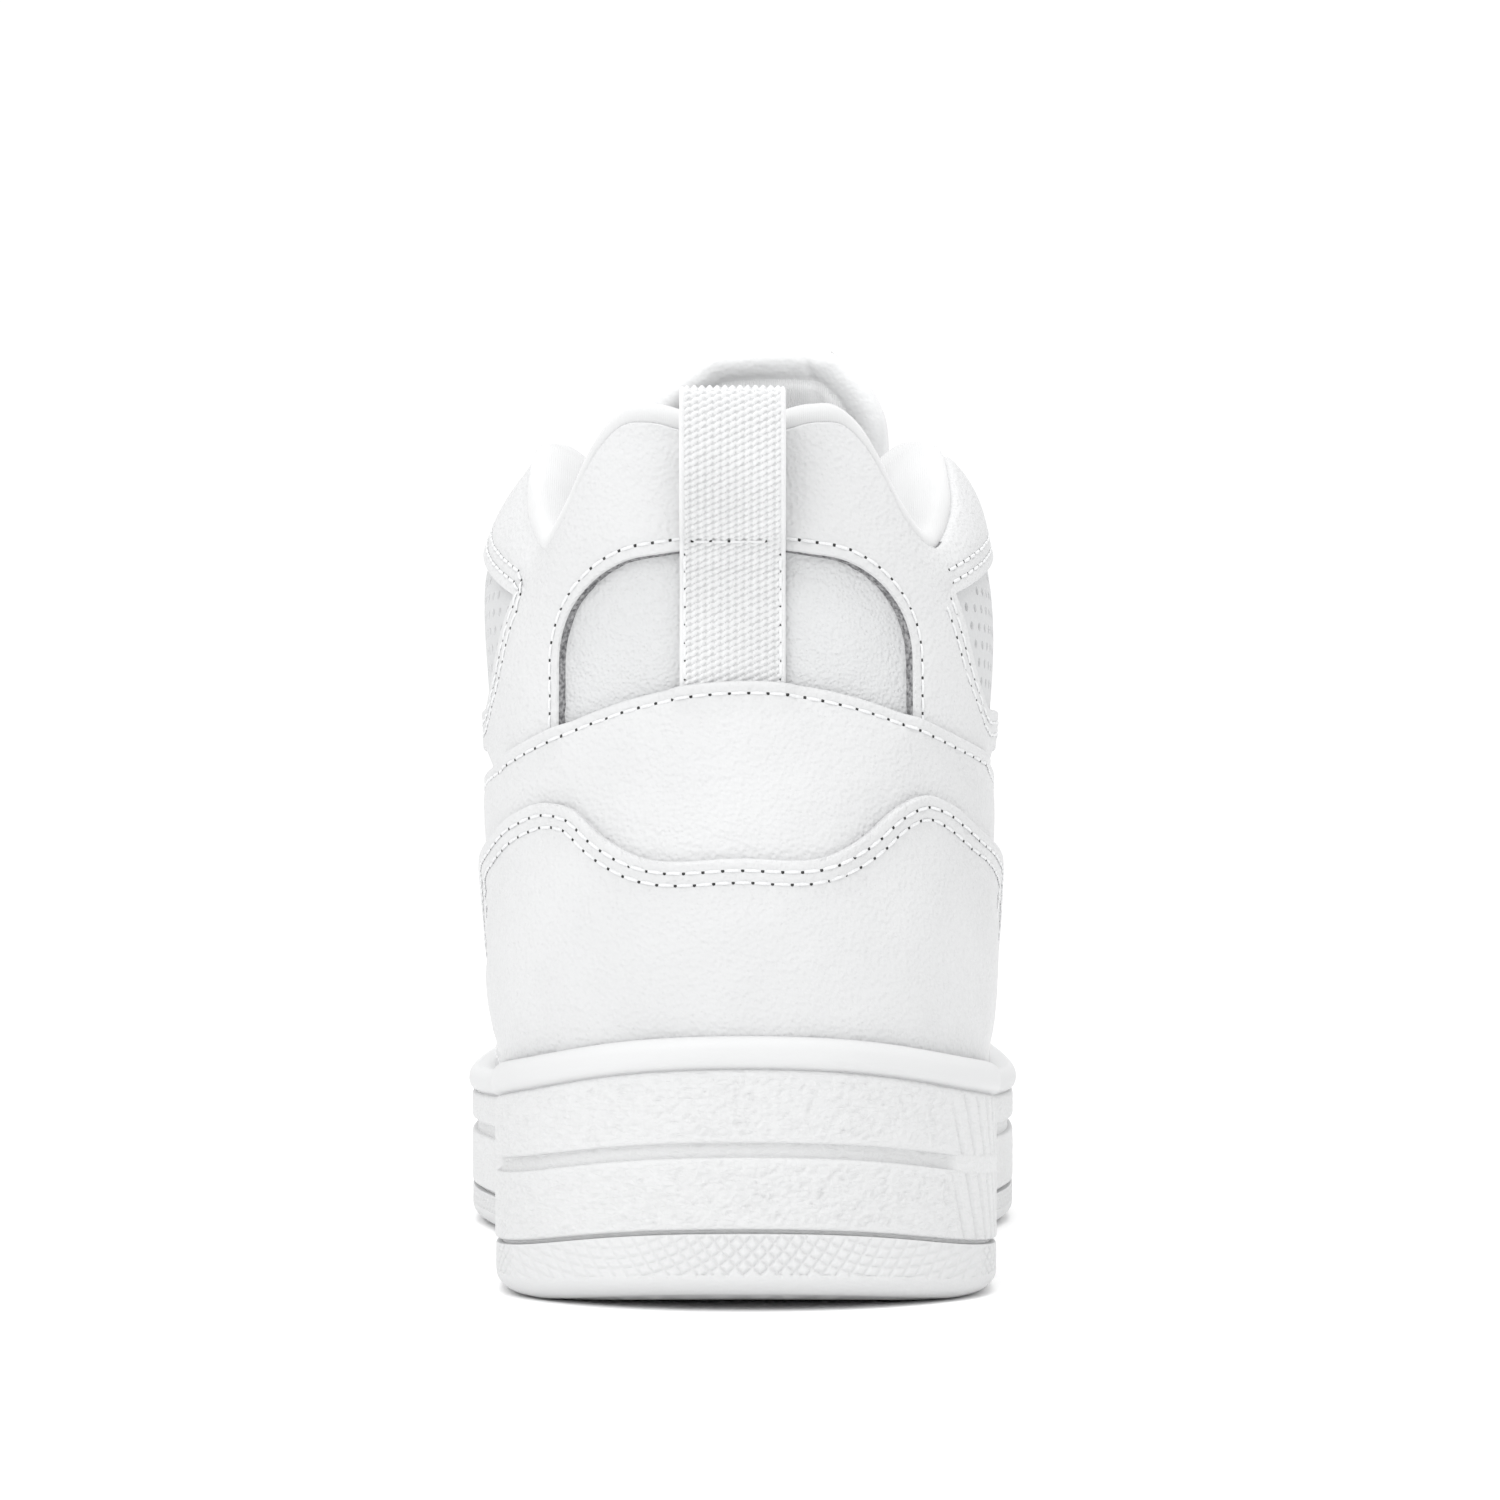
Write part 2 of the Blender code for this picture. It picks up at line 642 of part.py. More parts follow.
def eyelet_place(side, n):
    """Centre of an eyelet, counted from the toe end."""
    t = n / (EYELETS - 1)
    line = run(eyestay_inner(side, 6.5), step=2.0)
    start = 0.22
    at = (start + (0.93 - start) * t) * (len(line) - 1)
    i = int(at)
    f = at - i
    j = min(i + 1, len(line) - 1)
    return tuple(line[i][a] * (1 - f) + line[j][a] * f for a in (0, 1))


def octagon(side, n, radius):
    s, v = eyelet_place(side, n)
    e = 1e-3
    p = skin(s, v)
    a = (skin(s + e, v) - p) / e
    b = (skin(s, v + e) - p) / e
    u = a / np.linalg.norm(a)
    w = b - np.dot(b, u) * u
    w /= np.linalg.norm(w)
    basis_2 = np.array([[np.dot(a, u), np.dot(b, u)], [np.dot(a, w), np.dot(b, w)]])
    inverse = np.linalg.inv(basis_2)
    loop = []
    for k in range(8):
        angle = (k + 0.5) * math.pi / 4
        d = inverse @ (radius * math.cos(angle), radius * math.sin(angle))
        loop.append((s + d[0], v + d[1]))
    return loop


def vamp():
    right = [wrap(p) for p in vamp_seam(1)]
    left = [wrap(p) for p in vamp_seam(-1)]
    front = above(0.0, 46.0)
    arc = [right[-1], wrap(above(THROAT_HALF * 0.45, 44.6)), wrap(front),
           wrap(above(-THROAT_HALF * 0.45, 44.6)), left[-1]]
    bottom = [(right[0][0] + (left[0][0] - right[0][0]) * t, FEATHER_V)
              for t in np.linspace(0, 1, 33)]
    outline = chain(bottom, run(left), run(list(reversed(arc))), run(list(reversed(right))))
    return panel("vamp", outline, (-SKIN, 0.0), LEATHER, cell=8.5)


def heel_panel():
    seam = [rear(x, z) for x, z in ((REAR_SEAM_X - 0.7, 31.0), (REAR_SEAM_X - 0.7, 45.0),
                                    (REAR_SEAM_X - 0.7, 65.0), (REAR_SEAM_X - 0.7, 85.0),
                                    (REAR_SEAM_X - 0.7, 105.0), (REAR_SEAM_X - 0.7, 124.0))]
    other = [rear(-(REAR_SEAM_X - 0.7), z) for z in (124.0, 105.0, 85.0, 65.0, 45.0, 31.0)]
    near = [rear(TOPLINE_X + x, z - GAP) for x, z in TOPLINE_REAR[:-1]]
    back = [rear(TOPLINE_X - x, z - GAP) for x, z in TOPLINE_REAR[:-1]]
    top = [seam[-1]] + list(reversed(near)) + back[1:] + [other[0]]
    bottom = feather(other[-1][0], seam[0][0])
    outline = chain(bottom, run([bottom[-1]] + seam[1:]), run(top), run(other[:-1] + [bottom[0]]))
    return panel("heel_panel", outline, (-SKIN, 0.0), LEATHER)


# ------------------------------------------------------------------ overlays
ANKLE_WINDOW = ((-117.0, 117.0), (-104.0, 120.5), (-84.0, 124.5), (-66.0, 126.5), (-58.0, 122.0),
                (-52.0, 108.0), (-50.0, 100.0), (-56.0, 97.0), (-74.0, 97.2), (-94.0, 97.8),
                (-106.0, 98.5), (-111.0, 103.0))
WINDOW_SHIFT = 6.0       # the outer window starts this much further forward
OVERLAY_FRONT = ((-38.0, 134.0), (-34.0, 122.0), (-28.0, 108.0), (-24.0, 96.0))
OVERLAY_FOOT = ((-40.0, 88.0), (-60.0, 90.0), (-84.0, 91.0), (-98.0, 91.3))


def ankle_window(side):
    shift = 0.0 if side > 0 else WINDOW_SHIFT
    points = [flank(side, y + shift * (y < -100.0), z) for y, z in ANKLE_WINDOW]
    loop = run(points + [points[0]], step=7.0)
    return loop[:-1]


def arch():
    """The window behind the heel, as a run from its left foot over the top to the right."""
    points = []
    low = BAND_TOP_Z - 8.0
    left = ARCH_X - ARCH_HALF
    right = ARCH_X + ARCH_HALF
    for z in (low + 3.0, 105.0):
        points.append(rear(left, z))
    for k in range(5):
        angle = math.pi - k * math.pi / 8
        points.append(rear(left + ARCH_R + ARCH_R * math.cos(angle),
                           ARCH_TOP - ARCH_R + ARCH_R * math.sin(angle)))
    for k in range(5):
        angle = math.pi / 2 - k * math.pi / 8
        points.append(rear(right - ARCH_R + ARCH_R * math.cos(angle),
                           ARCH_TOP - ARCH_R + ARCH_R * math.sin(angle)))
    for z in (105.0, low + 3.0):
        points.append(rear(right, z))
    return points


def collar_overlay():
    gap = 0.6
    window = arch()
    left_foot = [flank(-1, y, z) for y, z in OVERLAY_FOOT]
    left_foot += [rear(x, BAND_TOP_Z - BAND_DROP * x * x + gap) for x in (-39.0, -36.0)]
    left_foot += [window[0]]
    right_foot = [window[-1]]
    right_foot += [rear(x, BAND_TOP_Z - BAND_DROP * x * x + gap) for x in (36.0, 39.0)]
    right_foot += [flank(1, y, z) for y, z in reversed(OVERLAY_FOOT)]
    front_r = [flank(1, y, z) for y, z in reversed(OVERLAY_FRONT)]
    front_l = [flank(-1, y, z) for y, z in OVERLAY_FRONT]
    top = list(reversed(both(topline, lower=0.3)))
    outline = chain(run(left_foot), run(window, 5.0), run(right_foot),
                    run([right_foot[-1]] + front_r), run([front_r[-1]] + top, 6.0),
                    run([top[-1]] + front_l), run([front_l[-1], left_foot[0]]))
    return panel("collar_overlay", outline, OVERLAY, LEATHER,
                 [ankle_window(-1), ankle_window(1)])


def heel_band():
    """Band round the heel whose ends run forwards and down to the waist."""
    upper = [rear(x, BAND_TOP_Z - BAND_DROP * x * x)
             for x in (-39.0, -33.0, -26.0, -18.0, -9.0, 0.0, 9.0, 18.0, 26.0, 33.0, 39.0)]
    upper = list(reversed(band_front(-1))) + upper + band_front(1)
    low_right = list(reversed(counter_line(1, lower=-1.1, shift=1.8)))
    low_left = counter_line(-1, lower=-1.1, shift=1.8)
    sole_r = [flank(1, y, 30.0) for y in (18.0, -6.0, -30.0)]
    sole_l = [flank(-1, y, 30.0) for y in (-30.0, -6.0, 18.0)]
    lower = sole_r + [flank(1, -44.0, 31.0)] + low_right[1:] + low_left[1:-1]
    lower += [flank(-1, -44.0, 31.0)] + sole_l
    outline = chain(run(upper), run([upper[-1]] + lower), run([lower[-1], upper[0]]))
    return panel("heel_band", outline, BAND, LEATHER)


def heel_counter():
    right = counter_line(1)
    left = counter_line(-1)
    upper = list(reversed(left)) + right[1:]
    bottom = [(right[-1][0] + (left[-1][0] - right[-1][0]) * t, FEATHER_V + 0.06)
              for t in np.linspace(0, 1, 19)]
    outline = chain(run(upper, 6.0), run([upper[-1], bottom[0]]), bottom,
                    run([bottom[-1], upper[0]]))
    return panel("heel_counter", outline, COUNTER, LEATHER)


def eyestay(side):
    name = "eyestay_medial" if side > 0 else "eyestay_lateral"
    inner = eyestay_inner(side, 0.8)
    outer = [above(side * (THROAT_HALF * 0.62 + EYESTAY_WIDTH * 0.55), 50.0)]
    outer += [flank(side, y, z) for y, z in ((40.0, 70.0), (24.0, 77.0), (6.0, 87.0),
                                             (-10.0, 99.0), (-21.0, 112.0), (-29.0, 124.0),
                                             (-36.0, 135.0))]
    top = [flank(side, -34.6, 138.0)]
    outline = chain(run(inner + top), run(top + list(reversed(outer))),
                    run([outer[0], inner[0]]))
    holes = [octagon(side, n, EYELET_R) for n in range(EYELETS)]
    return panel(name, outline, OVERLAY, LEATHER, holes)


def toe_overlay():
    """Mudguard that wraps the toe, highest at its tip."""
    line = [(20.0, 33.0), (44.0, 36.0), (70.0, 42.0)]
    right = [wrap(flank(1, y, z)) for y, z in line]
    left = [wrap(flank(-1, y, z)) for y, z in line]
    arc = [wrap(above(x, y)) for x, y in ((29.0, 101.0), (16.0, 110.0), (5.0, 112.0),
                                          (-8.0, 109.0), (-22.0, 99.0))]
    upper = right + arc + list(reversed(left))
    bottom = [(left[0][0] + (right[0][0] - left[0][0]) * t, FEATHER_V + 0.08)
              for t in np.linspace(0, 1, 33)]
    outline = chain(run(upper), run([upper[-1], bottom[0]]), bottom, run([bottom[-1], upper[0]]))
    return panel("toe_overlay", outline, OVERLAY, LEATHER, cell=8.5)


# ------------------------------------------------------------------ inside the upper
FOAM_THICK = 11.0


def pad_depth(s, z):
    """Depth of the padding: thin at the foot and thick round the ankle."""
    t = np.clip((z - 66.0) / 42.0, 0.0, 1.0)
    return FOAM_THICK * t * t * (3 - 2 * t) * pad_taper(s)


def pad_taper(s):
    """The padding thins out towards the eyestays."""
    t = np.clip((abs(s) - 0.27) / 0.11, 0.0, 1.0)
    return 1.0 - 0.78 * t * t * (3 - 2 * t)


def collar_columns():
    """Columns from the outer front of the collar round the heel to the inner front."""
    line = run(both(topline), 12.0)
    return line[1:-1]


def at_height(s, z, off):
    v = height_v(s, z)
    return lifted(np.array(s), np.array(v), np.array(off))


def collar_foam():
    """Padding round the ankle, up to just under the rolled edge."""
    sections = []
    for s, v in collar_columns():
        top = float(skin(s, v)[2])
        deep = FOAM_THICK * pad_taper(s)
        shape = ((-1.2, -2.2), (0.5, -3.0), (0.6, -3.4 - 0.3 * deep), (-0.8, -2.6 - 0.7 * deep),
                 (-4.0, -2.4 - deep), (-11.0, -2.6 - deep))
        points = [at_height(s, top + dz, off) for dz, off in shape]
        for z in (98.0, 78.0):
            points.append(at_height(s, z, -2.5 - float(pad_depth(s, z))))
        points += [at_height(s, z, -2.2) for z in (78.0, 96.0, 112.0)]
        sections.append(points)
    return loft("collar_foam", sections, FOAM)


def collar_lining():
    """Sheet from the leather's edge over the padding and down inside the shoe."""
    sections = []
    for s, v in collar_columns():
        top = float(skin(s, v)[2])
        deep = FOAM_THICK * pad_taper(s)
        over = ((1.2, 0.2), (2.6, -2.2), (2.5, -3.8 - 0.3 * deep), (1.0, -3.8 - 0.75 * deep),
                (-3.2, -4.4 - deep), (-11.0, -4.6 - deep))
        under = ((-10.8, -3.4 - deep), (-3.4, -3.2 - deep), (0.2, -3.0 - 0.7 * deep),
                 (1.4, -3.4 - 0.3 * deep), (1.6, -2.6), (1.2, -0.9))
        heights = (98.0, 78.0, 60.0, 33.0)
        points = [at_height(s, top + dz, off) for dz, off in over]
        points += [at_height(s, z, -4.6 - float(pad_depth(s, z))) for z in heights]
        points += [at_height(s, z, -3.4 - float(pad_depth(s, z))) for z in reversed(heights)]
        points += [at_height(s, top + dz, off) for dz, off in under]
        sections.append(points)
    return loft("collar_lining", sections, FABRIC)


def vamp_lining_face(s, v):
    """Close behind the eyestays, and deeper over the toe to leave room for the toe puff."""
    t = np.clip((skin(s, v)[..., 1] - 60.0) / 14.0, 0.0, 1.0)
    return -1.8 - 1.9 * t


def vamp_lining_back(s, v):
    return vamp_lining_face(s, v) - 1.1


def vamp_lining():
    """Lining of the toe and of both eyestays, split by the throat."""
    end = abs(collar_columns()[-1][0]) + 0.007
    right = [wrap(p) for p in throat(1, out=1.2)]
    left = [wrap(p) for p in throat(-1, out=1.2)]
    front = [right[0], wrap(above(THROAT_HALF * 0.4, 50.0)), wrap(above(-THROAT_HALF * 0.4, 50.0)),
             left[0]]
    low = FEATHER_V + 0.08
    high = right[-1][1] + 0.02
    bottom = [(end + (1 - 2 * end) * t, low) for t in np.linspace(0, 1, 21)]
    outline = chain(bottom, run([(1 - end, low), (1 - end, high)]), run([(1 - end, high), left[-1]]),
                    run(list(reversed(left))), run(list(reversed(front))), run(right),
                    run([right[-1], (end, high)]), run([(end, high), (end, low)]))
    holes = []
    for side in (1, -1):
        holes += [[wrap(p) for p in octagon(side, n, EYELET_R + 1.8)] for n in range(EYELETS)]
    return panel("vamp_lining", outline, (vamp_lining_back, vamp_lining_face), FABRIC, holes,
                 cell=9.5)


def toe_puff():
    arc = [wrap(above(x, y)) for x, y in ((38.0, 84.0), (20.0, 96.0), (4.0, 99.0),
                                          (-12.0, 96.0), (-31.0, 84.0))]
    bottom = [(arc[-1][0] + (arc[0][0] - arc[-1][0]) * t, FEATHER_V + 0.1)
              for t in np.linspace(0, 1, 17)]
    outline = chain(run(arc), run([arc[-1], bottom[0]]), bottom, run([bottom[-1], arc[0]]))
    return panel("toe_puff", outline, STIFFENER, BOARD)


def counter_stiffener():
    top = [rear(x, 66.0) for x in (-34.0, -18.0, 0.0, 18.0, 34.0)]
    right = [flank(1, -92.0, 58.0), flank(1, -80.0, 44.0)]
    left = [flank(-1, -80.0, 44.0), flank(-1, -92.0, 58.0)]
    upper = left + top + right
    bottom = [(right[-1][0] + (left[0][0] - right[-1][0]) * t, FEATHER_V + 0.1)
              for t in np.linspace(0, 1, 15)]
    outline = chain(run(upper), run([upper[-1], bottom[0]]), bottom, run([bottom[-1], upper[0]]))
    return panel("counter_stiffener", outline, (-2.7, -1.8), BOARD)


# ------------------------------------------------------------------ tongue
TONGUE_LAYERS = (("shell", (-6.9, -5.7), LEATHER), ("foam", (-11.1, -7.3), FOAM),
                 ("lining", (-12.5, -11.5), FABRIC))
TONGUE_HALF = ((64.0, 19.0), (42.0, 23.0), (20.0, 25.0), (0.0, 24.0), (-12.0, 22.0))


def tongue_lower(part, offsets, look):
    """The laced part of the tongue, which follows the upper from below."""
    right = [wrap(above(x, y)) for y, x in TONGUE_HALF]
    left = [wrap(above(-x, y)) for y, x in TONGUE_HALF]
    top_v = 0.5 * (right[-1][1] + left[-1][1])
    crown = [right[-1], (0.5, top_v + 0.035), left[-1]]
    toe = [left[0], wrap(above(0.0, 70.0)), right[0]]
    outline = chain(run(right), run(crown), run(list(reversed(left))), run(toe))
    return panel("tongue_" + part, outline, offsets, look, cell=13.0)


# the free top of the tongue: middle line, half width and bend of its cross sections
TONGUE_TOP = ((2.7, -26.4, 134.5, 21.0, 20.0), (2.2, -31.4, 143.0, 21.6, 23.0),
              (2.9, -36.4, 152.0, 23.9, 32.0), (3.8, -39.8, 158.0, 21.5, 34.0),
              (5.0, -41.6, 162.2, 13.0, 38.0))
TONGUE_OUT = np.array((0.0, 0.854, 0.52))


def tongue_top(part, low, high, look):
    """One layer of the tongue's free top, between two depths, on its hinge axis."""
    sections = []
    for x, y, z, half, bend in TONGUE_TOP:
        ring = []
        for depth, order in ((high, 1), (low, -1)):
            for a in np.linspace(-1, 1, 9)[::order]:
                angle = a * half / bend
                aside = (bend + depth) * math.sin(angle)
                back = (bend + depth) * (1 - math.cos(angle))
                ring.append(tuple(np.array((x + aside, y, z)) + TONGUE_OUT * (depth - back)))
        sections.append(ring)
    return loft("tongue_top_" + part, sections, look, origin=HINGE_TONGUE)


def tongue():
    for part, offsets, look in TONGUE_LAYERS:
        tongue_lower(part, offsets, look)
    tongue_top("shell", -1.2, 0.0, LEATHER)
    tongue_top("foam", -6.6, -1.6, FOAM)
    tongue_top("lining", -8.0, -7.0, FABRIC)


# ------------------------------------------------------------------ lace
LACE_HALF = 3.4
LACE_THICK = 0.55
LACE_OVER = 3.1
LACE_UNDER = -4.6


LACE_DRAPE = ((0.0, LACE_OVER), (9.4, LACE_OVER), (11.6, 0.8), (14.0, -2.4))
LACE_MIDDLE = -3.9


def lace_bar(n, side):
    """Stops of one row, from its eyelet on the given side across to the other side."""
    a = wrap(eyelet_place(side, n))
    b = wrap(eyelet_place(-side, n))
    span = np.linalg.norm(skin(*a) - skin(*b))
    near = [(d / span, off) for d, off in LACE_DRAPE if d < 0.44 * span]
    rows = near + [(0.5, LACE_MIDDLE)] + [(1.0 - t, off) for t, off in reversed(near)]
    stops = []
    for t, off in rows:
        point = (a[0] + (b[0] - a[0]) * t, a[1] + (b[1] - a[1]) * t)
        stops.append((point, off, 1.7 if t in (0.0, 1.0) else LACE_HALF))
    return stops


def ribbon(stops):
    """Rings of four corners through stops of middle, width and thickness vectors."""
    return [[tuple(m + w + t), tuple(m - w + t), tuple(m - w - t), tuple(m + w - t)]
            for m, w, t in stops]


def lace_frame(point):
    s, v = point
    e = 1e-3
    out = normal(np.array(s), np.array(v))
    up = skin(s, v + e) - skin(s, v - e)
    up = up - np.dot(up, out) * out
    up /= np.linalg.norm(up)
    return skin(s, v), up, np.cross(up, out), out


def lace():
    """One flat lace in straight bars: across, down an eyelet, up to the next, and back."""
    path = []
    side = -1
    for n in range(EYELETS):
        turn = 1.0 if side < 0 else -1.0
        bar = lace_bar(n, side)
        here, up, across, out = lace_frame(bar[0][0])
        across = across if np.dot(across, (1, 0, 0)) > 0 else -across
        path.append((here + out * LACE_UNDER, out * (-turn * 0.5), across * (-turn * 1.5))
                    if n == 0 else None)
        path.append((here + out * -1.0, up * turn * 1.4, across * (-turn * 1.2)))
        for point, off, wide in bar:
            at, up, _, out = lace_frame(point)
            path.append((at + out * off, up * turn * wide, out * LACE_THICK))
        here, up, across, out = lace_frame(bar[-1][0])
        across = across if np.dot(across, (1, 0, 0)) > 0 else -across
        path.append((here + out * -1.0, up * turn * 1.4, across * (turn * 1.2)))
        path.append((here + out * LACE_UNDER, up * turn * 1.0 + out * turn * 0.3,
                     across * (turn * 1.4)))
        if n < EYELETS - 1:
            nxt = wrap(eyelet_place(-side, n + 1))
            for f in (0.3, 0.7):
                mid = (bar[-1][0][0] * (1 - f) + nxt[0] * f, bar[-1][0][1] * (1 - f) + nxt[1] * f)
                at, up, across, out = lace_frame(mid)
                across = across if np.dot(across, (1, 0, 0)) > 0 else -across
                path.append((at + out * LACE_UNDER, out * (turn * 0.45), across * (turn * 2.2)))
        side = -side
    path = [stop for stop in path if stop is not None]
    return loft("lace", ribbon(path), WEBBING)


# ------------------------------------------------------------------ pull strap
STRAP_SEAM_Z = 124.0
HINGE_STRAP = (HEEL_X + WEB_X, -138.6, STRAP_SEAM_Z)
# middle line of the loop in side view, from the seam up the outer ply and down the inner ply
STRAP_LOOP = ((-139.6, 124.2), (-141.8, 129.0), (-144.2, 135.0), (-145.2, 142.0), (-144.4, 147.0),
              (-141.6, 149.8), (-138.6, 148.4), (-137.6, 143.0), (-137.9, 136.0), (-138.2, 129.0),
              (-138.0, 124.4))


def strap_loop():
    """Folded webbing loop that stands up behind the heel tab and swings on its seam."""
    sections = []
    pts = np.array(STRAP_LOOP)
    for x in (-WEB_HALF, WEB_HALF):
        ring = []
        for direction in (1, -1):
            for i in range(len(pts))[::direction]:
                a = pts[max(i - 1, 0)]
                b = pts[min(i + 1, len(pts) - 1)]
                t = (b - a) / np.linalg.norm(b - a)
                n = np.array((t[1], -t[0])) * direction * -0.5 * WEB_THICK
                if i in (0, len(pts) - 1):
                    n *= 0.9
                ring.append((HEEL_X + WEB_X + x, pts[i][0] + n[0], pts[i][1] + n[1]))
        sections.append(ring)
    return loft("pull_loop", sections, WEBBING, origin=HINGE_STRAP)


def strap_base():
    """The webbing sewn flat on the heel panel between the loop and the heel band."""
    left = [rear(WEB_X - WEB_HALF, z) for z in (102.4, 112.0, 122.4)]
    right = [rear(WEB_X + WEB_HALF, z) for z in (122.4, 112.0, 102.4)]
    outline = chain(run(left), run([left[-1], right[0]]), run(right), run([right[-1], left[0]]))
    return panel("pull_strap_base", outline, (0.5, 0.5 + WEB_THICK), WEBBING)


for make in (sole_parts, vamp, heel_panel, collar_overlay, heel_band, heel_counter, toe_overlay,
             collar_foam, collar_lining, vamp_lining, toe_puff, counter_stiffener, tongue, lace,
             strap_loop, strap_base):
    make()
for side in (-1, 1):
    quarter(side)
    eyestay(side)
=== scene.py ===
"""High top basketball shoe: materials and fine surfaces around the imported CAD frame.

The script works in millimetres on the same surface of the upper as the CAD model and turns
the points into metres when a mesh is made. s runs round the shoe from the heel (0) by the
inner side to the toe (0.5 or -0.5), v runs up the upper from 0 to 1.
"""
import bpy
import bmesh
import math
import numpy as np
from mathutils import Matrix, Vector, noise
from mathutils.geometry import delaunay_2d_cdt


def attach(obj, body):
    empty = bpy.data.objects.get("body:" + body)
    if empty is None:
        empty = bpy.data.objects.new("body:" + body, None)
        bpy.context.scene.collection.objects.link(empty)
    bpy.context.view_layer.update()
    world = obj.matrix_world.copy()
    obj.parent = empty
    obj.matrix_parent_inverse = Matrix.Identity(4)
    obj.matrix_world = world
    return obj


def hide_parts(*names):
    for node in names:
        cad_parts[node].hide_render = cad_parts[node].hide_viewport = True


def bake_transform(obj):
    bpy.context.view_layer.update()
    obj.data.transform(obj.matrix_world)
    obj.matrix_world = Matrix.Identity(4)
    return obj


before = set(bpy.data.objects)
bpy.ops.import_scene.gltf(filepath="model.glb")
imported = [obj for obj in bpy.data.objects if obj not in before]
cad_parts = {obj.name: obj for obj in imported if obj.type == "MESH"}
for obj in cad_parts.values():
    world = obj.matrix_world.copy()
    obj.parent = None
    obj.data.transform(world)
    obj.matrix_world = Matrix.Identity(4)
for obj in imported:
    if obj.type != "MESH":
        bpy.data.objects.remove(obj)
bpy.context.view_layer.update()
MM = 0.001

# ------------------------------------------------------------------ camera, light and floor
EYE_HEIGHT = 91.0
EYE_BACK = 1000.0        # from the rearmost point of the sole
EYE_ASIDE = 0.65         # from the middle of the heel to the inner side
SENSOR = 36.0
LENS = 148.08
HEEL_X = 0.75            # the heel stands this far to the inner side of the box centre
SOLE_BACK = -149.0


def camera():
    data = bpy.data.cameras.new("camera")
    data.sensor_width = SENSOR
    data.lens = LENS
    data.clip_start = 0.05
    eye = bpy.data.objects.new("camera", data)
    eye.location = ((HEEL_X + EYE_ASIDE) * MM, (SOLE_BACK - EYE_BACK) * MM, EYE_HEIGHT * MM)
    eye.rotation_euler = (math.pi / 2, 0.0, 0.0)
    bpy.context.scene.collection.objects.link(eye)
    bpy.context.scene.camera = eye


def area_light(name, place, target, size, power):
    data = bpy.data.lights.new(name, "AREA")
    data.shape = "DISK"
    data.size = size
    data.energy = power
    lamp = bpy.data.objects.new(name, data)
    lamp.location = place
    aim = Vector(target) - Vector(place)
    lamp.rotation_euler = aim.to_track_quat("-Z", "Y").to_euler()
    bpy.context.scene.collection.objects.link(lamp)


WORLD_POWER = 1.06
LIGHTS = (("key", (-0.4, -1.0, 0.95), 0.7, 5.0), ("top", (0.06, -0.15, 1.3), 1.0, 7.0))
SHOE_CENTRE = (0.0, 0.0, 0.08)


def lighting():
    world = bpy.data.worlds.new("studio")
    bpy.context.scene.world = world
    world.use_nodes = True
    shade = world.node_tree.nodes["Background"]
    shade.inputs["Color"].default_value = (1.0, 1.0, 1.0, 1.0)
    shade.inputs["Strength"].default_value = WORLD_POWER
    for name, place, size, power in LIGHTS:
        area_light(name, place, SHOE_CENTRE, size, power)
    bpy.context.scene.view_settings.view_transform = "Standard"


def floor():
    mesh = bpy.data.meshes.new("floor")
    bm = bmesh.new()
    bmesh.ops.create_circle(bm, cap_ends=True, segments=96, radius=6.0)
    bm.to_mesh(mesh)
    bm.free()
    obj = bpy.data.objects.new("floor", mesh)
    obj.location = (0.0, 0.0, -0.0002)
    bpy.context.scene.collection.objects.link(obj)
    look = Look("floor_paper", (0.975, 0.975, 0.975), 0.9)
    look.tint(look.texture(NOISE, 400.0), (0.972, 0.972, 0.972), (0.98, 0.98, 0.98))
    mesh.materials.append(look.mat)


# ------------------------------------------------------------------ materials
NOISE = "ShaderNodeTexNoise"
CELLS = "ShaderNodeTexVoronoi"


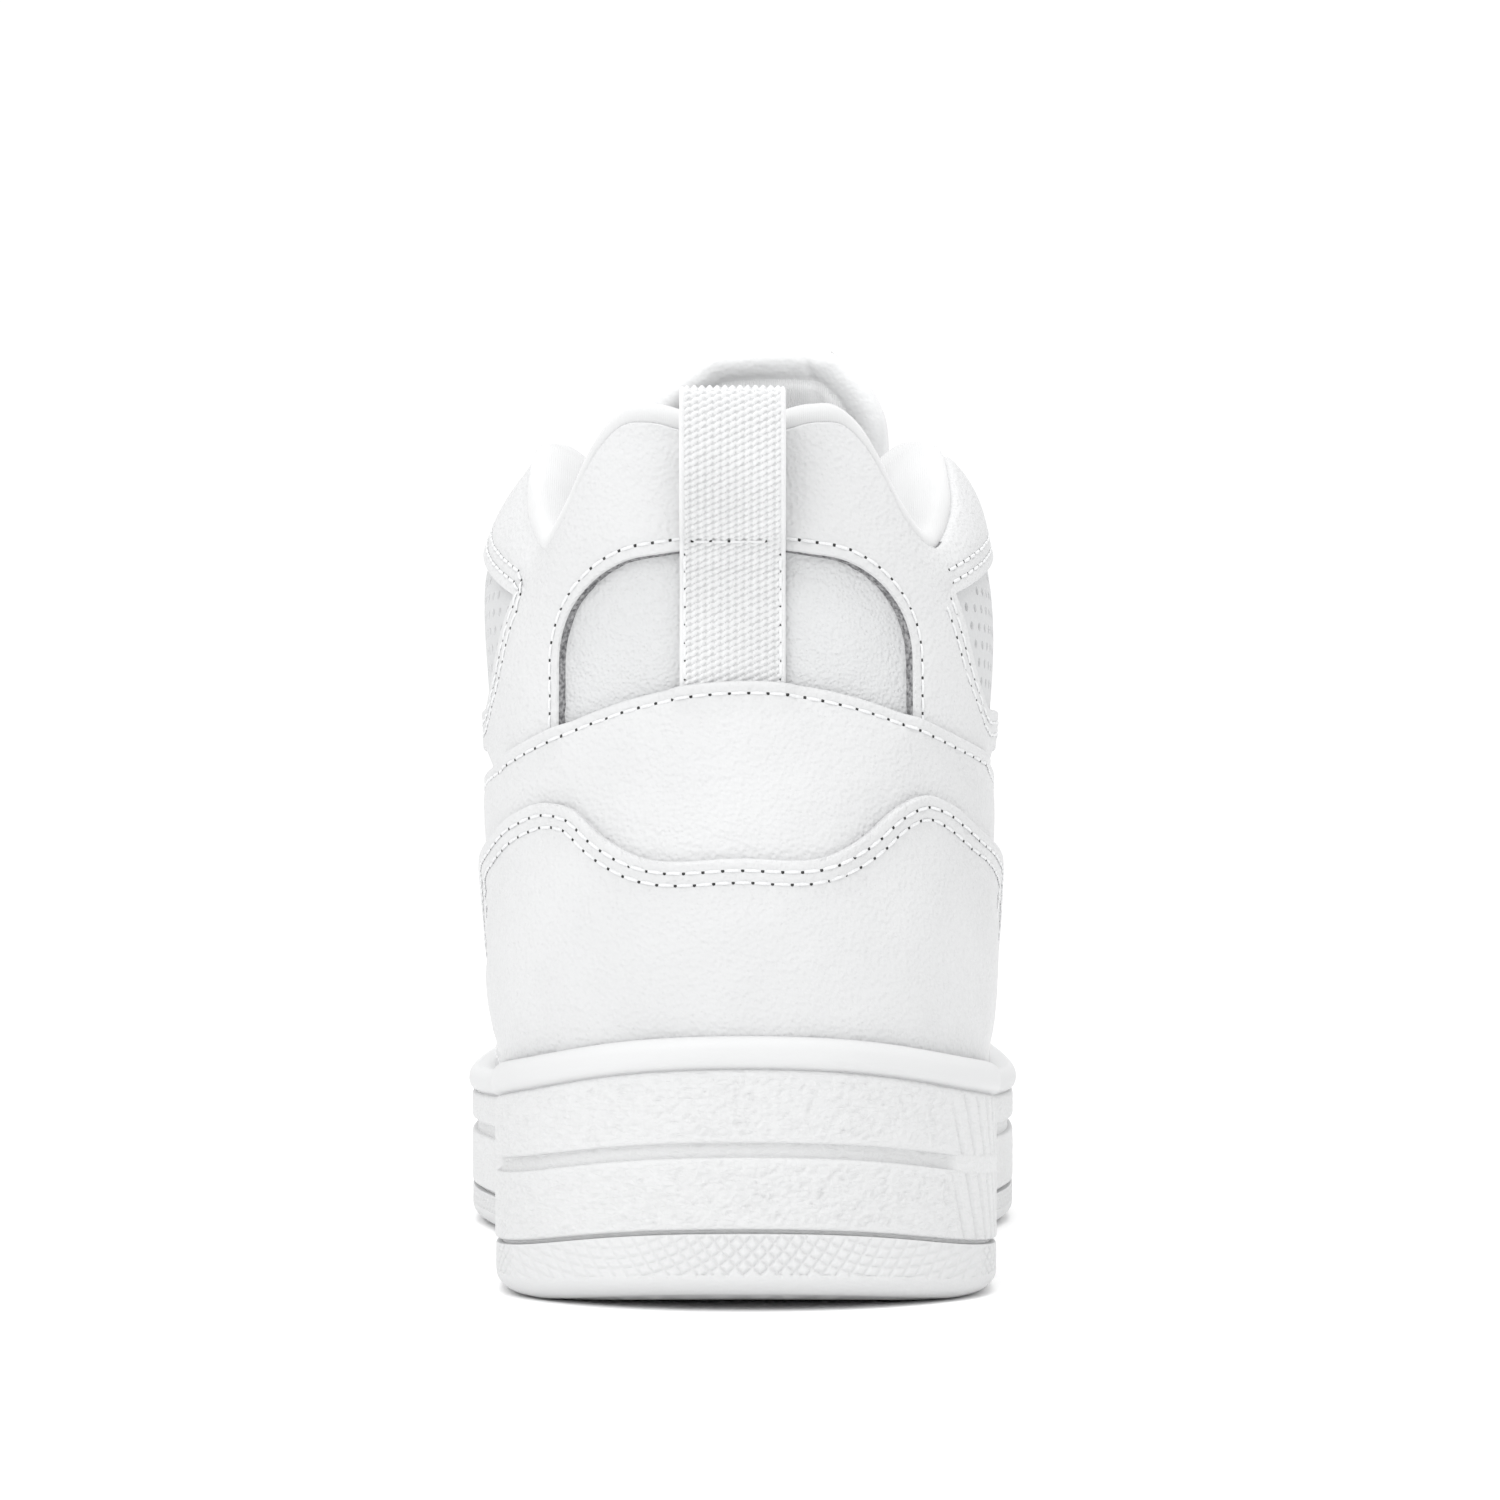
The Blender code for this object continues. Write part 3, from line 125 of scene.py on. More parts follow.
class Look:
    """A material whose textures are made and linked one after another."""

    def __init__(self, name, colour, roughness):
        self.mat = bpy.data.materials.new(name)
        self.mat.use_nodes = True
        self.nodes = self.mat.node_tree.nodes
        self.links = self.mat.node_tree.links
        self.shader = self.nodes["Principled BSDF"]
        self.set(Roughness=roughness)
        self.shader.inputs["Base Color"].default_value = (*colour, 1.0)

    def set(self, **values):
        for key, value in values.items():
            self.shader.inputs[key.replace("_", " ")].default_value = value

    def join(self, source, node, socket):
        self.links.new(source.outputs[0], node.inputs[socket])

    def coordinates(self, scale=(1.0, 1.0, 1.0), turn=(0.0, 0.0, 0.0)):
        place = self.nodes.new("ShaderNodeTexCoord")
        mapping = self.nodes.new("ShaderNodeMapping")
        mapping.inputs["Scale"].default_value = scale
        mapping.inputs["Rotation"].default_value = turn
        self.links.new(place.outputs["Object"], mapping.inputs["Vector"])
        return mapping

    def texture(self, kind, scale, mapping=None, **values):
        node = self.nodes.new(kind)
        node.inputs["Scale"].default_value = scale
        for key, value in values.items():
            if key in node.inputs:
                node.inputs[key].default_value = value
            else:
                setattr(node, key, value)
        self.join(mapping or self.coordinates(), node, "Vector")
        return node

    def tint(self, source, dark, light, low=0.35, high=0.65):
        ramp = self.nodes.new("ShaderNodeValToRGB")
        for element, place, colour in zip(ramp.color_ramp.elements, (low, high), (dark, light)):
            element.position = place
            element.color = (*colour, 1.0)
        self.join(source, ramp, 0)
        self.join(ramp, self.shader, "Base Color")

    def roughen(self, source, low, high):
        spread = self.nodes.new("ShaderNodeMapRange")
        spread.inputs["To Min"].default_value = low
        spread.inputs["To Max"].default_value = high
        self.join(source, spread, "Value")
        self.join(spread, self.shader, "Roughness")

    def bump(self, source, depth, strength=1.0, under=None):
        node = self.nodes.new("ShaderNodeBump")
        node.inputs["Distance"].default_value = depth * MM
        node.inputs["Strength"].default_value = strength
        self.join(source, node, "Height")
        if under:
            self.join(under, node, "Normal")
        self.join(node, self.shader, "Normal")
        return node


def darker(colour, share):
    return tuple(c * share for c in colour)


def leather(name, colour=(0.585, 0.588, 0.592), grain=0.28, crease=0.22, rough=0.5,
            pebbles=1300.0):
    """Smooth tumbled leather: fine pebble grain over faint stretched wrinkles."""
    look = Look(name, colour, rough)
    pebble = look.texture(CELLS, pebbles, Randomness=1.0, feature="SMOOTH_F1")
    fine = look.texture(NOISE, 2600.0, Detail=2.0)
    bent = look.coordinates((1.0, 1.0, 2.2), (0.5, 0.3, 0.4))
    wrinkle = look.texture(NOISE, 190.0, bent, Detail=4.0, Distortion=0.6)
    cloud = look.texture(NOISE, 38.0, Detail=2.0)
    look.tint(cloud, darker(colour, 0.972), tuple(min(1.0, c * 1.012) for c in colour))
    look.roughen(fine, rough - 0.06, rough + 0.1)
    first = look.bump(wrinkle, crease)
    second = look.bump(pebble, grain, 0.8, first)
    look.bump(fine, grain * 0.35, 0.6, second)
    look.set(Specular_IOR_Level=0.42, Coat_Weight=0.05)
    return look.mat


def speckled(name, colour, rough, grain, dark, light, depth=0.0, reach=(0.35, 0.65)):
    """A plain matt material with two tones and a little relief from one fine grain."""
    look = Look(name, colour, rough)
    kind, scale, values = grain
    fine = look.texture(kind, scale, **values)
    look.tint(fine, dark, light, *reach)
    if depth:
        look.bump(fine, depth)
    return look.mat


def rubber(name, colour, wrinkle_depth, rough=0.5):
    """Moulded rubber with a shallow leather-like wrinkle."""
    look = Look(name, colour, rough)
    bent = look.coordinates((0.62, 0.62, 1.25), (0.0, 0.4, 0.0))
    streak = look.texture(CELLS, 820.0, bent, Randomness=1.0, feature="DISTANCE_TO_EDGE")
    fine = look.texture(NOISE, 3200.0, Detail=1.0)
    cloud = look.texture(NOISE, 30.0, Detail=2.0)
    look.tint(cloud, darker(colour, 0.975), colour)
    look.roughen(fine, rough - 0.05, rough + 0.12)
    first = look.bump(streak, wrinkle_depth)
    look.bump(fine, 0.03, 0.7, first)
    look.set(Specular_IOR_Level=0.4)
    return look.mat


def fabric(name, colour, knit=700.0, depth=0.22, turn=(0.0, 0.0, 0.0)):
    """Fine lining knit: rows of small loops with a soft sheen."""
    look = Look(name, colour, 0.92)
    rows = look.texture("ShaderNodeTexWave", knit, look.coordinates(turn=turn),
                        bands_direction="X", Distortion=1.4, Detail=2.0)
    rows.inputs["Detail Scale"].default_value = 2.0
    loops = look.texture(CELLS, knit * 1.9, Randomness=0.7)
    cloud = look.texture(NOISE, 55.0, Detail=3.0)
    look.tint(cloud, darker(colour, 0.93), colour)
    first = look.bump(rows, depth)
    look.bump(loops, depth * 0.7, 0.8, first)
    look.set(Sheen_Weight=0.25, Sheen_Roughness=0.5)
    return look.mat


LEATHER = leather("white_leather")
LEATHER_INSET = leather("inset_leather", (0.57, 0.575, 0.58), 0.32, 0.24, 0.52, 1700.0)
LEATHER_TONGUE = leather("tongue_leather", (0.69, 0.694, 0.698), 0.1, 0.12)
LEATHER_GREY = leather("perforated_leather", (0.53, 0.535, 0.54), 0.08, 0.1, 0.55)
# the cut edge of split leather: grey, fibrous and rough
RAW = speckled("cut_leather_edge", (0.32, 0.32, 0.32), 0.95, (NOISE, 1500.0, {"Detail": 4.0}),
               (0.09, 0.09, 0.095), (0.34, 0.34, 0.345), 0.25)
# the painted edge of the other panels
EDGE = speckled("painted_leather_edge", (0.52, 0.52, 0.52), 0.85,
                (NOISE, 1300.0, {"Detail": 3.0}), (0.47, 0.47, 0.475), (0.56, 0.56, 0.565), 0.12)
MIDSOLE = rubber("midsole_rubber", (0.605, 0.608, 0.611), 0.32)
BEAD = rubber("bead_rubber", (0.605, 0.608, 0.611), 0.01)
OUTSOLE = rubber("outsole_rubber", (0.60, 0.603, 0.606), 0.07, 0.55)
LINING = fabric("lining_knit", (0.61, 0.613, 0.616), 900.0, 0.022)
# a brighter copy of the lining knit for the back of the tongue: painted light that stands in for
# light the shaded inside of the shoe doesn't get
TONGUE_KNIT_LIT = fabric("tongue_knit_painted_light", (0.80, 0.804, 0.808), 900.0, 0.06)
SOCK = fabric("sockliner_knit", (0.66, 0.665, 0.67), 900.0, 0.05, (0.0, 0.0, 0.6))
WEB = fabric("webbing_yarn", (0.70, 0.704, 0.708), 3000.0, 0.015)
# painted shade: a darker copy of the webbing yarn for the faces sunk between the yarns, standing in
# for the shade that falls there
WEB_PAINTED_SHADE = fabric("webbing_painted_shade_between_yarns", (0.56, 0.564, 0.568), 3000.0, 0.015)
LACE_YARN = fabric("lace_yarn", (0.66, 0.665, 0.67), 2200.0, 0.02)
THREAD = speckled("thread", (0.67, 0.675, 0.68), 0.7, (NOISE, 3500.0, {"Detail": 2.0}),
                  (0.63, 0.635, 0.64), (0.70, 0.705, 0.71), 0.05)
THREAD.node_tree.nodes["Principled BSDF"].inputs["Sheen Weight"].default_value = 0.2
# near-black colour for the needle holes: painted shade of the deep holes, which the shallow pits
# don't cast
HOLE_SHADE = speckled("needle_hole_painted_shade", (0.03, 0.03, 0.03), 1.0, (NOISE, 2500.0, {}),
                  (0.02, 0.02, 0.02), (0.05, 0.05, 0.05))
BOARD = speckled("fibre_board", (0.55, 0.50, 0.42), 0.85, (NOISE, 600.0, {"Detail": 6.0}),
                 (0.42, 0.38, 0.31), (0.60, 0.55, 0.47), 0.15)
FOAM = speckled("foam_padding", (0.75, 0.74, 0.70), 0.95, (CELLS, 1400.0, {}),
                (0.62, 0.61, 0.57), (0.78, 0.77, 0.73), 0.3, (0.1, 0.6))

# ------------------------------------------------------------------ the surface of the upper
HALF = 10
REAR_COLUMNS = 3
FRONT_COLUMNS = 3
TOE_POWER = 0.84
# back end, length of the round back, front end, length of the round front, shifts of back
# and front, half widths (medial, lateral) at heel, middle and front, heights at five places
RINGS = (
    (-141.0, 42.0, 138.0, 84.0, 0.0, 7.0, (35.5, 34.5, 43.0), (35.5, 36.0, 44.5),
     (16.0, 16.0, 14.5, 13.5, 23.0)),
    (-142.4, 43.0, 140.6, 84.0, 0.0, 7.0, (37.2, 37.0, 45.5), (37.2, 38.5, 47.0),
     (31.0, 31.0, 29.0, 27.0, 35.0)),
    (-145.4, 45.5, 133.0, 78.0, 0.0, 6.5, (40.4, 40.0, 44.0), (41.6, 41.2, 45.5),
     (47.0, 47.0, 45.0, 42.0, 48.0)),
    (-144.6, 46.0, 106.0, 62.0, 0.0, 5.0, (40.4, 40.4, 37.5), (41.8, 42.2, 38.5),
     (65.0, 65.0, 61.0, 57.0, 58.5)),
    (-140.6, 45.0, 66.0, 48.0, -0.3, 3.0, (40.8, 40.4, 33.0), (42.6, 42.2, 34.0),
     (85.0, 84.0, 79.0, 73.0, 73.0)),
    (-137.2, 45.0, 24.0, 36.0, -0.8, 1.5, (42.8, 42.1, 30.5), (43.2, 43.0, 31.5),
     (105.0, 104.0, 98.5, 94.0, 93.0)),
    (-135.2, 44.0, -8.0, 30.0, -1.6, 0.5, (42.3, 42.6, 30.0), (42.3, 43.0, 31.0),
     (125.0, 124.0, 121.0, 119.0, 120.0)),
    (-134.0, 41.0, -31.0, 26.0, -2.2, 0.0, (35.6, 35.0, 25.0), (35.6, 35.6, 26.0),
     (149.0, 147.0, 146.0, 149.0, 162.0)),
)


def hermite(x, xs, ys):
    """Smooth curve through a few given stations."""
    xs = np.asarray(xs, float)
    ys = np.asarray(ys, float)
    grades = np.gradient(ys, xs)
    x = np.clip(np.asarray(x, float), xs[0], xs[-1])
    i = np.clip(np.searchsorted(xs, x, side="right") - 1, 0, len(xs) - 2)
    h = xs[i + 1] - xs[i]
    t = (x - xs[i]) / h
    a = (1 + 2 * t) * (1 - t) ** 2
    b = t * (1 - t) ** 2
    c = t * t * (3 - 2 * t)
    d = t * t * (t - 1)
    return a * ys[i] + b * h * grades[i] + c * ys[i + 1] + d * h * grades[i + 1]


def ring_point(ring, k, side):
    """One column point of a ring; k counts from the heel (0) to the toe (HALF)."""
    back, rear_r, front, front_r, back_x, front_x, medial, lateral, heights = ring
    widths = medial if side > 0 else lateral
    last = HALF - FRONT_COLUMNS
    z = float(hermite(k, (0, REAR_COLUMNS, HALF / 2, last, HALF), heights))
    shift = back_x
    if k <= REAR_COLUMNS:
        angle = k / REAR_COLUMNS * math.pi / 2
        y = back + rear_r * (1 - math.cos(angle))
        x = widths[0] * math.sin(angle)
    elif k >= last:
        angle = (HALF - k) / FRONT_COLUMNS * math.pi / 2
        power = TOE_POWER if front > 100.0 else 1.0
        y = front - front_r * (1 - math.cos(angle) ** power)
        x = widths[2] * math.sin(angle) ** power
        shift += front_x * ((k - last) / FRONT_COLUMNS) ** 2
    else:
        t = (k - REAR_COLUMNS) / (last - REAR_COLUMNS)
        y = back + rear_r + t * (front - front_r - back - rear_r)
        x = float(hermite(t, (0.0, 0.5, 1.0), widths))
    return (HEEL_X + shift + side * x, y, z)


def ring_points(ring):
    right = [ring_point(ring, k, 1) for k in range(HALF + 1)]
    left = [ring_point(ring, k, -1) for k in range(HALF - 1, 0, -1)]
    return right + left


def spline_net(points):
    """Control net of a bicubic spline surface that passes through the given points."""
    rows, cols = points.shape[:2]
    across = np.zeros((cols, cols))
    for i in range(cols):
        across[i, i] = 4 / 6
        across[i, (i + 1) % cols] += 1 / 6
        across[i, (i - 1) % cols] += 1 / 6
    up = np.zeros((rows + 2, rows + 2))
    for j in range(rows):
        up[j + 1, j:j + 3] = (1 / 6, 4 / 6, 1 / 6)
    up[0, :3] = (1, -2, 1)
    up[-1, -3:] = (1, -2, 1)
    net = np.einsum("ij,rjc->ric", np.linalg.inv(across), points)
    padded = np.zeros((rows + 2, cols, 3))
    padded[1:-1] = net
    return np.einsum("ij,jkc->ikc", np.linalg.inv(up), padded)


NET = spline_net(np.array([ring_points(ring) for ring in RINGS]))


def basis(t):
    return np.stack([(1 - t) ** 3, 3 * t ** 3 - 6 * t ** 2 + 4,
                     -3 * t ** 3 + 3 * t ** 2 + 3 * t + 1, t ** 3], -1) / 6


def skin(s, v):
    s = np.asarray(s, float)
    v = np.asarray(v, float)
    cols = NET.shape[1]
    rows = NET.shape[0]
    u = s * cols
    i = np.floor(u).astype(int)
    w = v * (rows - 3)
    j = np.clip(np.floor(w).astype(int), 0, rows - 4)
    bu = basis(u - i)
    bw = basis(w - j)
    total = 0.0
    for a in range(4):
        for b in range(4):
            weight = (bu[..., a] * bw[..., b])[..., None]
            total = total + weight * NET[j + b, (i + a - 1) % cols]
    return total


def slopes(s, v):
    e = 0.001
    ds = (skin(s + e, v) - skin(s - e, v)) / (2 * e)
    dv = (skin(s, v + e) - skin(s, v - e)) / (2 * e)
    return ds, dv, unit(np.cross(ds, dv))


def lifted(s, v, off):
    s = np.asarray(s, float)
    v = np.asarray(v, float)
    off = np.broadcast_to(np.asarray(off, float), np.broadcast(s, v).shape)
    return skin(s, v) + slopes(s, v)[2] * off[..., None]


GRID_S, GRID_V = np.meshgrid(np.linspace(0, 1, 721), np.linspace(0, 1.02, 241), indexing="ij")
GRID_P = skin(GRID_S, GRID_V)
LEVELS = np.linspace(15.0, 165.0, 301)
V_TABLE = np.array([np.interp(LEVELS, np.maximum.accumulate(column[:, 2]), GRID_V[0])
                    for column in GRID_P])


def v_at(s, z):
    """The v at which the column s has the height z."""
    s, z = np.broadcast_arrays(np.asarray(s, float), np.asarray(z, float))
    a = (s % 1.0) * (len(V_TABLE) - 1)
    b = np.clip((z - LEVELS[0]) / (LEVELS[1] - LEVELS[0]), 0, len(LEVELS) - 1.001)
    i = np.clip(a.astype(int), 0, len(V_TABLE) - 2)
    j = b.astype(int)
    f = a - i
    g = b - j
    low = V_TABLE[i, j] * (1 - g) + V_TABLE[i, j + 1] * g
    high = V_TABLE[i + 1, j] * (1 - g) + V_TABLE[i + 1, j + 1] * g
    return low * (1 - f) + high * f


def find(axes, target, where):
    """Surface coordinates of the point whose two given world coordinates match."""
    d = (GRID_P[..., axes[0]] - target[0]) ** 2 + (GRID_P[..., axes[1]] - target[1]) ** 2
    best = np.argmin(np.where(where, d, 1e9))
    s = GRID_S.flat[best]
    v = GRID_V.flat[best]
    e = 1e-3
    for _ in range(6):
        p = skin(s, v)[list(axes)]
        a = (skin(s + e, v)[list(axes)] - p) / e
        b = (skin(s, v + e)[list(axes)] - p) / e
        det = a[0] * b[1] - a[1] * b[0]
        if abs(det) < 1e-6:
            break
        r = np.array(target) - p
        s += np.clip((r[0] * b[1] - r[1] * b[0]) / det, -0.01, 0.01)
        v += np.clip((a[0] * r[1] - a[1] * r[0]) / det, -0.02, 0.02)
    return ((s + 0.5) % 1 - 0.5, v)


CENTRED = (GRID_S + 0.5) % 1 - 0.5
AT_REAR = np.abs(CENTRED) < 0.17
IN_FRONT = (np.abs(CENTRED) > 0.3) & (GRID_V > 0.2)


def rear(x, z):
    return find((0, 2), (x + HEEL_X, z), AT_REAR)


def flank(side, y, z):
    """A point given in side view; side is +1 for the inner and -1 for the outer side."""
    return find((1, 2), (y, z), CENTRED * side > 0.004)


def above(x, y):
    """A point of the forefoot given in top view."""
    return find((0, 1), (x + HEEL_X, y), IN_FRONT)


def wrap(point):
    """The same coordinates counted from 0 to 1, for pieces that cross the toe."""
    return (point[0] % 1, point[1])


# ------------------------------------------------------------------ gathering and linking meshes
class Shape:
    """Points and faces of one piece, gathered in millimetres, each face with its material slot."""

    def __init__(self):
        self.points = []
        self.faces = []
        self.slots = []
        self.count = 0

    def add(self, points, faces, slot=0):
        points = np.asarray(points, float).reshape(-1, 3)
        first = self.count
        self.points.append(points)
        self.faces += [tuple(int(i) + first for i in face) for face in faces]
        self.slots += [slot] * len(faces) if np.isscalar(slot) else list(slot)
        self.count += len(points)

    def add_many(self, groups, faces, slot):
        """Adds the same faces over each group of points."""
        size = groups.shape[1]
        many = [tuple(i + n * size for i in f) for n in range(len(groups)) for f in faces]
        self.add(groups, many, slot)

    def make(self, name, looks, finish, sharp=42.0, body="shoe"):
        mesh = bpy.data.meshes.new(name)
        mesh.from_pydata((np.vstack(self.points) * MM).tolist(), [], self.faces)
        for look in looks:
            mesh.materials.append(look)
        mesh.polygons.foreach_set("material_index", self.slots)
        mesh.shade_smooth()
        mesh.set_sharp_from_angle(angle=math.radians(sharp))
        mesh.update()
        obj = bpy.data.objects.new(name, mesh)
        bpy.context.scene.collection.objects.link(obj)
        if body:
            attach(obj, body)
        return obj


def smooth(t):
    t = np.clip(t, 0.0, 1.0)
    return t * t * (3 - 2 * t)


def away(points, line):
    """Distance of each point from a polyline."""
    a = line[:-1]
    d = line[1:] - a
    size = np.maximum((d * d).sum(1), 1e-12)
    out = np.empty(len(points))
    for k in range(0, len(points), 400):
        p = points[k:k + 400, None, :]
        t = np.clip(((p - a) * d).sum(2) / size, 0, 1)
        out[k:k + 400] = np.sqrt((((a + d * t[..., None]) - p) ** 2).sum(2).min(1))
    return out


def within(points, loop):
    """Whether flat points lie inside a closed loop."""
    loop = np.asarray(loop)
    x0, y0 = loop.T
    x1, y1 = np.roll(loop, -1, 0).T
    rise = np.where(np.abs(y1 - y0) < 1e-12, 1e-12, y1 - y0)
    out = np.empty(len(points), bool)
    for k in range(0, len(points), 800):
        x = points[k:k + 800, 0, None]
        y = points[k:k + 800, 1, None]
        cross = ((y0 > y) != (y1 > y)) & (x < (x1 - x0) * (y - y0) / rise + x0)
        out[k:k + 800] = cross.sum(1) % 2 == 1
    return out


def noise3(points, scale, seed=0.0, depth=3):
    """Smooth noise of about -1 to 1 at points in millimetres."""
    return np.array([noise.fractal(Vector((p[0] * scale + seed, p[1] * scale, p[2] * scale)),
                                   1.0, 2.0, depth) for p in points])


# ------------------------------------------------------------------ lines on the upper
SCALE_S = 560.0
SCALE_V = 150.0


def unit(vectors):
    return vectors / np.linalg.norm(vectors, axis=-1, keepdims=True)


def lengths(points):
    return np.r_[0, np.cumsum(np.linalg.norm(np.diff(points, axis=0), axis=1))]


def even(dense, step):
    """The same line with points at even distances along the real surface."""
    size = lengths(skin(*dense.T))
    count = max(1, round(size[-1] / step))
    at = np.linspace(0, size[-1], count + 1)
    return np.stack([np.interp(at, size, dense[:, 0]), np.interp(at, size, dense[:, 1])], 1)


def curve(points):
    """Closely spaced points of a smooth curve through surface points."""
    pts = np.array(points, float)
    chord = lengths(pts * (SCALE_S, SCALE_V))
    t = np.linspace(0, chord[-1], 40 * len(pts))
    return np.stack([hermite(t, chord, pts[:, 0]), hermite(t, chord, pts[:, 1])], 1)


def run(points, step=1.3):
    """Evenly spaced points of a smooth curve through surface points, ends included."""
    if len(points) > 2:
        return even(curve(points), step)
    first, last = np.array(points, float)
    return even(first + (last - first) * np.linspace(0, 1, 60)[:, None], step)


def chain(*parts):
    """One closed outline from runs that follow one another."""
    loop = []
    for part in parts:
        for p in part:
            if not loop or math.dist(p, loop[-1]) > 1e-4:
                loop.append(tuple(p))
    if math.dist(loop[0], loop[-1]) < 1e-4:
        loop.pop()
    return np.array(loop)


def ordered(loop, direction):
    """The loop turned so that its area has the given sign."""
    loop = np.asarray(loop, float)
    x, y = loop.T
    area = (x * np.roll(y, -1) - y * np.roll(x, -1)).sum()
    return loop if area * direction > 0 else loop[::-1]


def sideways(line, distance, closed=False):
    """The line moved to its left along the surface by a distance in millimetres."""
    p = np.asarray(line, float)
    if closed:
        t = np.roll(p, -1, 0) - np.roll(p, 1, 0)
    else:
        t = np.gradient(p, axis=0)
    ds, dv, n = slopes(*p.T)
    left = np.cross(n, unit(ds * t[:, :1] + dv * t[:, 1:]))
    ss = (ds * ds).sum(1)
    sv = (ds * dv).sum(1)
    vv = (dv * dv).sum(1)
    b1 = (left * ds).sum(1)
    b2 = (left * dv).sum(1)
    det = ss * vv - sv * sv
    step = np.stack([(b1 * vv - b2 * sv) / det, (b2 * ss - b1 * sv) / det], 1)
    return p + step * distance


def circle(place, radius, count=16):
    """A round hole of a real radius at a surface point."""
    s, v = place
    ds, dv, _ = slopes(np.array(s), np.array(v))
    u = ds / np.linalg.norm(ds)
    w = dv - np.dot(dv, u) * u
    w /= np.linalg.norm(w)
    frame_2 = np.array([[np.dot(ds, u), np.dot(dv, u)], [np.dot(ds, w), np.dot(dv, w)]])
    angle = np.arange(count) * 2 * math.pi / count
    step = np.linalg.inv(frame_2) @ (radius * np.cos(angle), radius * np.sin(angle))
    return np.array([s, v]) + step.T


def thin_out(points, gap):
    """Drops points that fall into a cell of this size that another point already holds."""
    seen = set()
    out = []
    for i, p in enumerate(points):
        cell = tuple(np.floor(p / gap).astype(int))
        if cell not in seen:
            seen.add(cell)
            out.append(i)
    return out


def flat_scale(loop):
    """Mean real length of one unit of s and one unit of v along a line."""
    ds, dv, _ = slopes(*loop.T)
    return np.array([np.linalg.norm(ds, axis=1).mean(), np.linalg.norm(dv, axis=1).mean()])


def staggered(loop, pitch):
    """A staggered lattice of points inside a flat loop."""
    low = np.floor(loop.min(0) / pitch).astype(int) - 1
    high = np.ceil(loop.max(0) / pitch).astype(int) + 1
    i, j = np.meshgrid(np.arange(low[0], high[0]), np.arange(low[1], high[1]))
    spots = np.stack([(i + 0.5 * (j % 2)) * pitch, j * pitch], -1).reshape(-1, 2)
    return spots[within(spots, loop)]


def triangles(points, edges, limit):
    """Points and faces of a flat mesh that keeps the edges, and where its points come from."""
    out = delaunay_2d_cdt([Vector(p) for p in points], edges, [], 1, limit)
    return np.array([tuple(p) for p in out[0]]), np.array([tuple(f) for f in out[2]]), out[3]


# ------------------------------------------------------------------ leather panels
INSETS = (0.22, 0.5, 0.95, 1.5, 2.0, 2.5, 3.3)    # rows of mesh points inside each edge
TWO_ROWS = INSETS + (3.9, 4.5)
CLOSEST = 0.33           # no two mesh points stand closer than this
EDGE_ROUND = 0.5
GROOVE_WIDE = 0.45
GROOVE_DEEP = 0.22       # how far a row of stitches pulls the leather in
SEAM_PITCH = 3.0
HOLE_LIFT = 0.07
EDGE_SLOT = 1            # places in each leather panel's list of materials
THREAD_SLOT = 2
HOLE_SHADE_SLOT = 3
WINDOW_SLOT = 4


class Panel:
    """A sheet on the upper: its outline, its layers, and the seams that press into it."""

    def __init__(self, outline, base, thickness=1.45, holes=(), seams=(), puff=0.25,
                 rounding=EDGE_ROUND, crease=0.1, insets=INSETS, sink=None):
        self.loops = [ordered(outline, 1)] + [ordered(hole, -1) for hole in holes]
        self.base = base
        self.thickness = thickness
        self.seams = seams
        self.puff = puff
        self.rounding = rounding
        self.crease = crease
        self.insets = insets
        self.sink = sink
        self.edges = [skin(*np.vstack([loop, loop[:1]]).T) for loop in self.loops]
        self.seam_lines = [skin(*line.T) for line, _ in seams]

    def depth(self, points):
        """Distance from the nearest edge."""
        return np.min([away(points, edge) for edge in self.edges], axis=0)

    def low(self, s, v):
        points = skin(s, v)
        low = self.base(s, v, points)
        return low - self.sink(points) if self.sink else low

    def high(self, s, v):
        points = skin(s, v)
        d = self.depth(points)
        r = self.rounding
        cut = r - np.sqrt(np.maximum(r * r - np.clip(r - d, 0, r) ** 2, 0))
        top = self.base(s, v, points) + self.thickness - cut
        top += self.puff * (1 - np.exp(-np.maximum(d - 2.0, 0) / 3.0))
        for (_, offset), line in zip(self.seams, self.seam_lines):
            gap = away(points, line)
            top -= GROOVE_DEEP * np.exp(-((gap - offset) / GROOVE_WIDE) ** 2)
        if self.crease:
            fade = smooth(d / 3.0)
            top += self.crease * fade * noise3(points, 0.11, 3.7)
            top += 0.3 * self.crease * fade * noise3(points, 0.45, 9.1, 2)
        return top

    def mesh(self, cell):
        """Flat triangulation with rows of points along the edges and a lattice between."""
        scale = flat_scale(self.loops[0])
        outer = self.loops[0] * scale
        holes = [hole * scale for hole in self.loops[1:]]
        verts = []
        links = []
        for loop in self.loops:
            first = len(verts)
            verts += [tuple(p) for p in loop * scale]
            count = len(loop)
            links += [(first + i, first + (i + 1) % count) for i in range(count)]
        extra = []
        for loop in self.loops:
            for inset in self.insets:
                row = sideways(loop, inset, closed=True)
                extra.append(row[self.depth(skin(*row.T)) > 0.9 * inset])
        lattice = staggered(outer, cell) / scale
        extra.append(lattice[self.depth(skin(*lattice.T)) > self.insets[-1] + 0.4 * cell])
        extra = np.vstack(extra)
        extra = extra[within(extra * scale, outer)]
        for hole in holes:
            extra = extra[~within(extra * scale, hole)]
        keep = thin_out(extra * scale, CLOSEST)
        verts += [tuple(p) for p in extra[keep] * scale]
        flat, faces, _ = triangles(verts, links, 1e-6)
        middle = flat[faces].mean(1)
        good = within(middle, outer)
        for hole in holes:
            good &= ~within(middle, hole)
        return flat / scale, [tuple(face) for face in faces[good]]


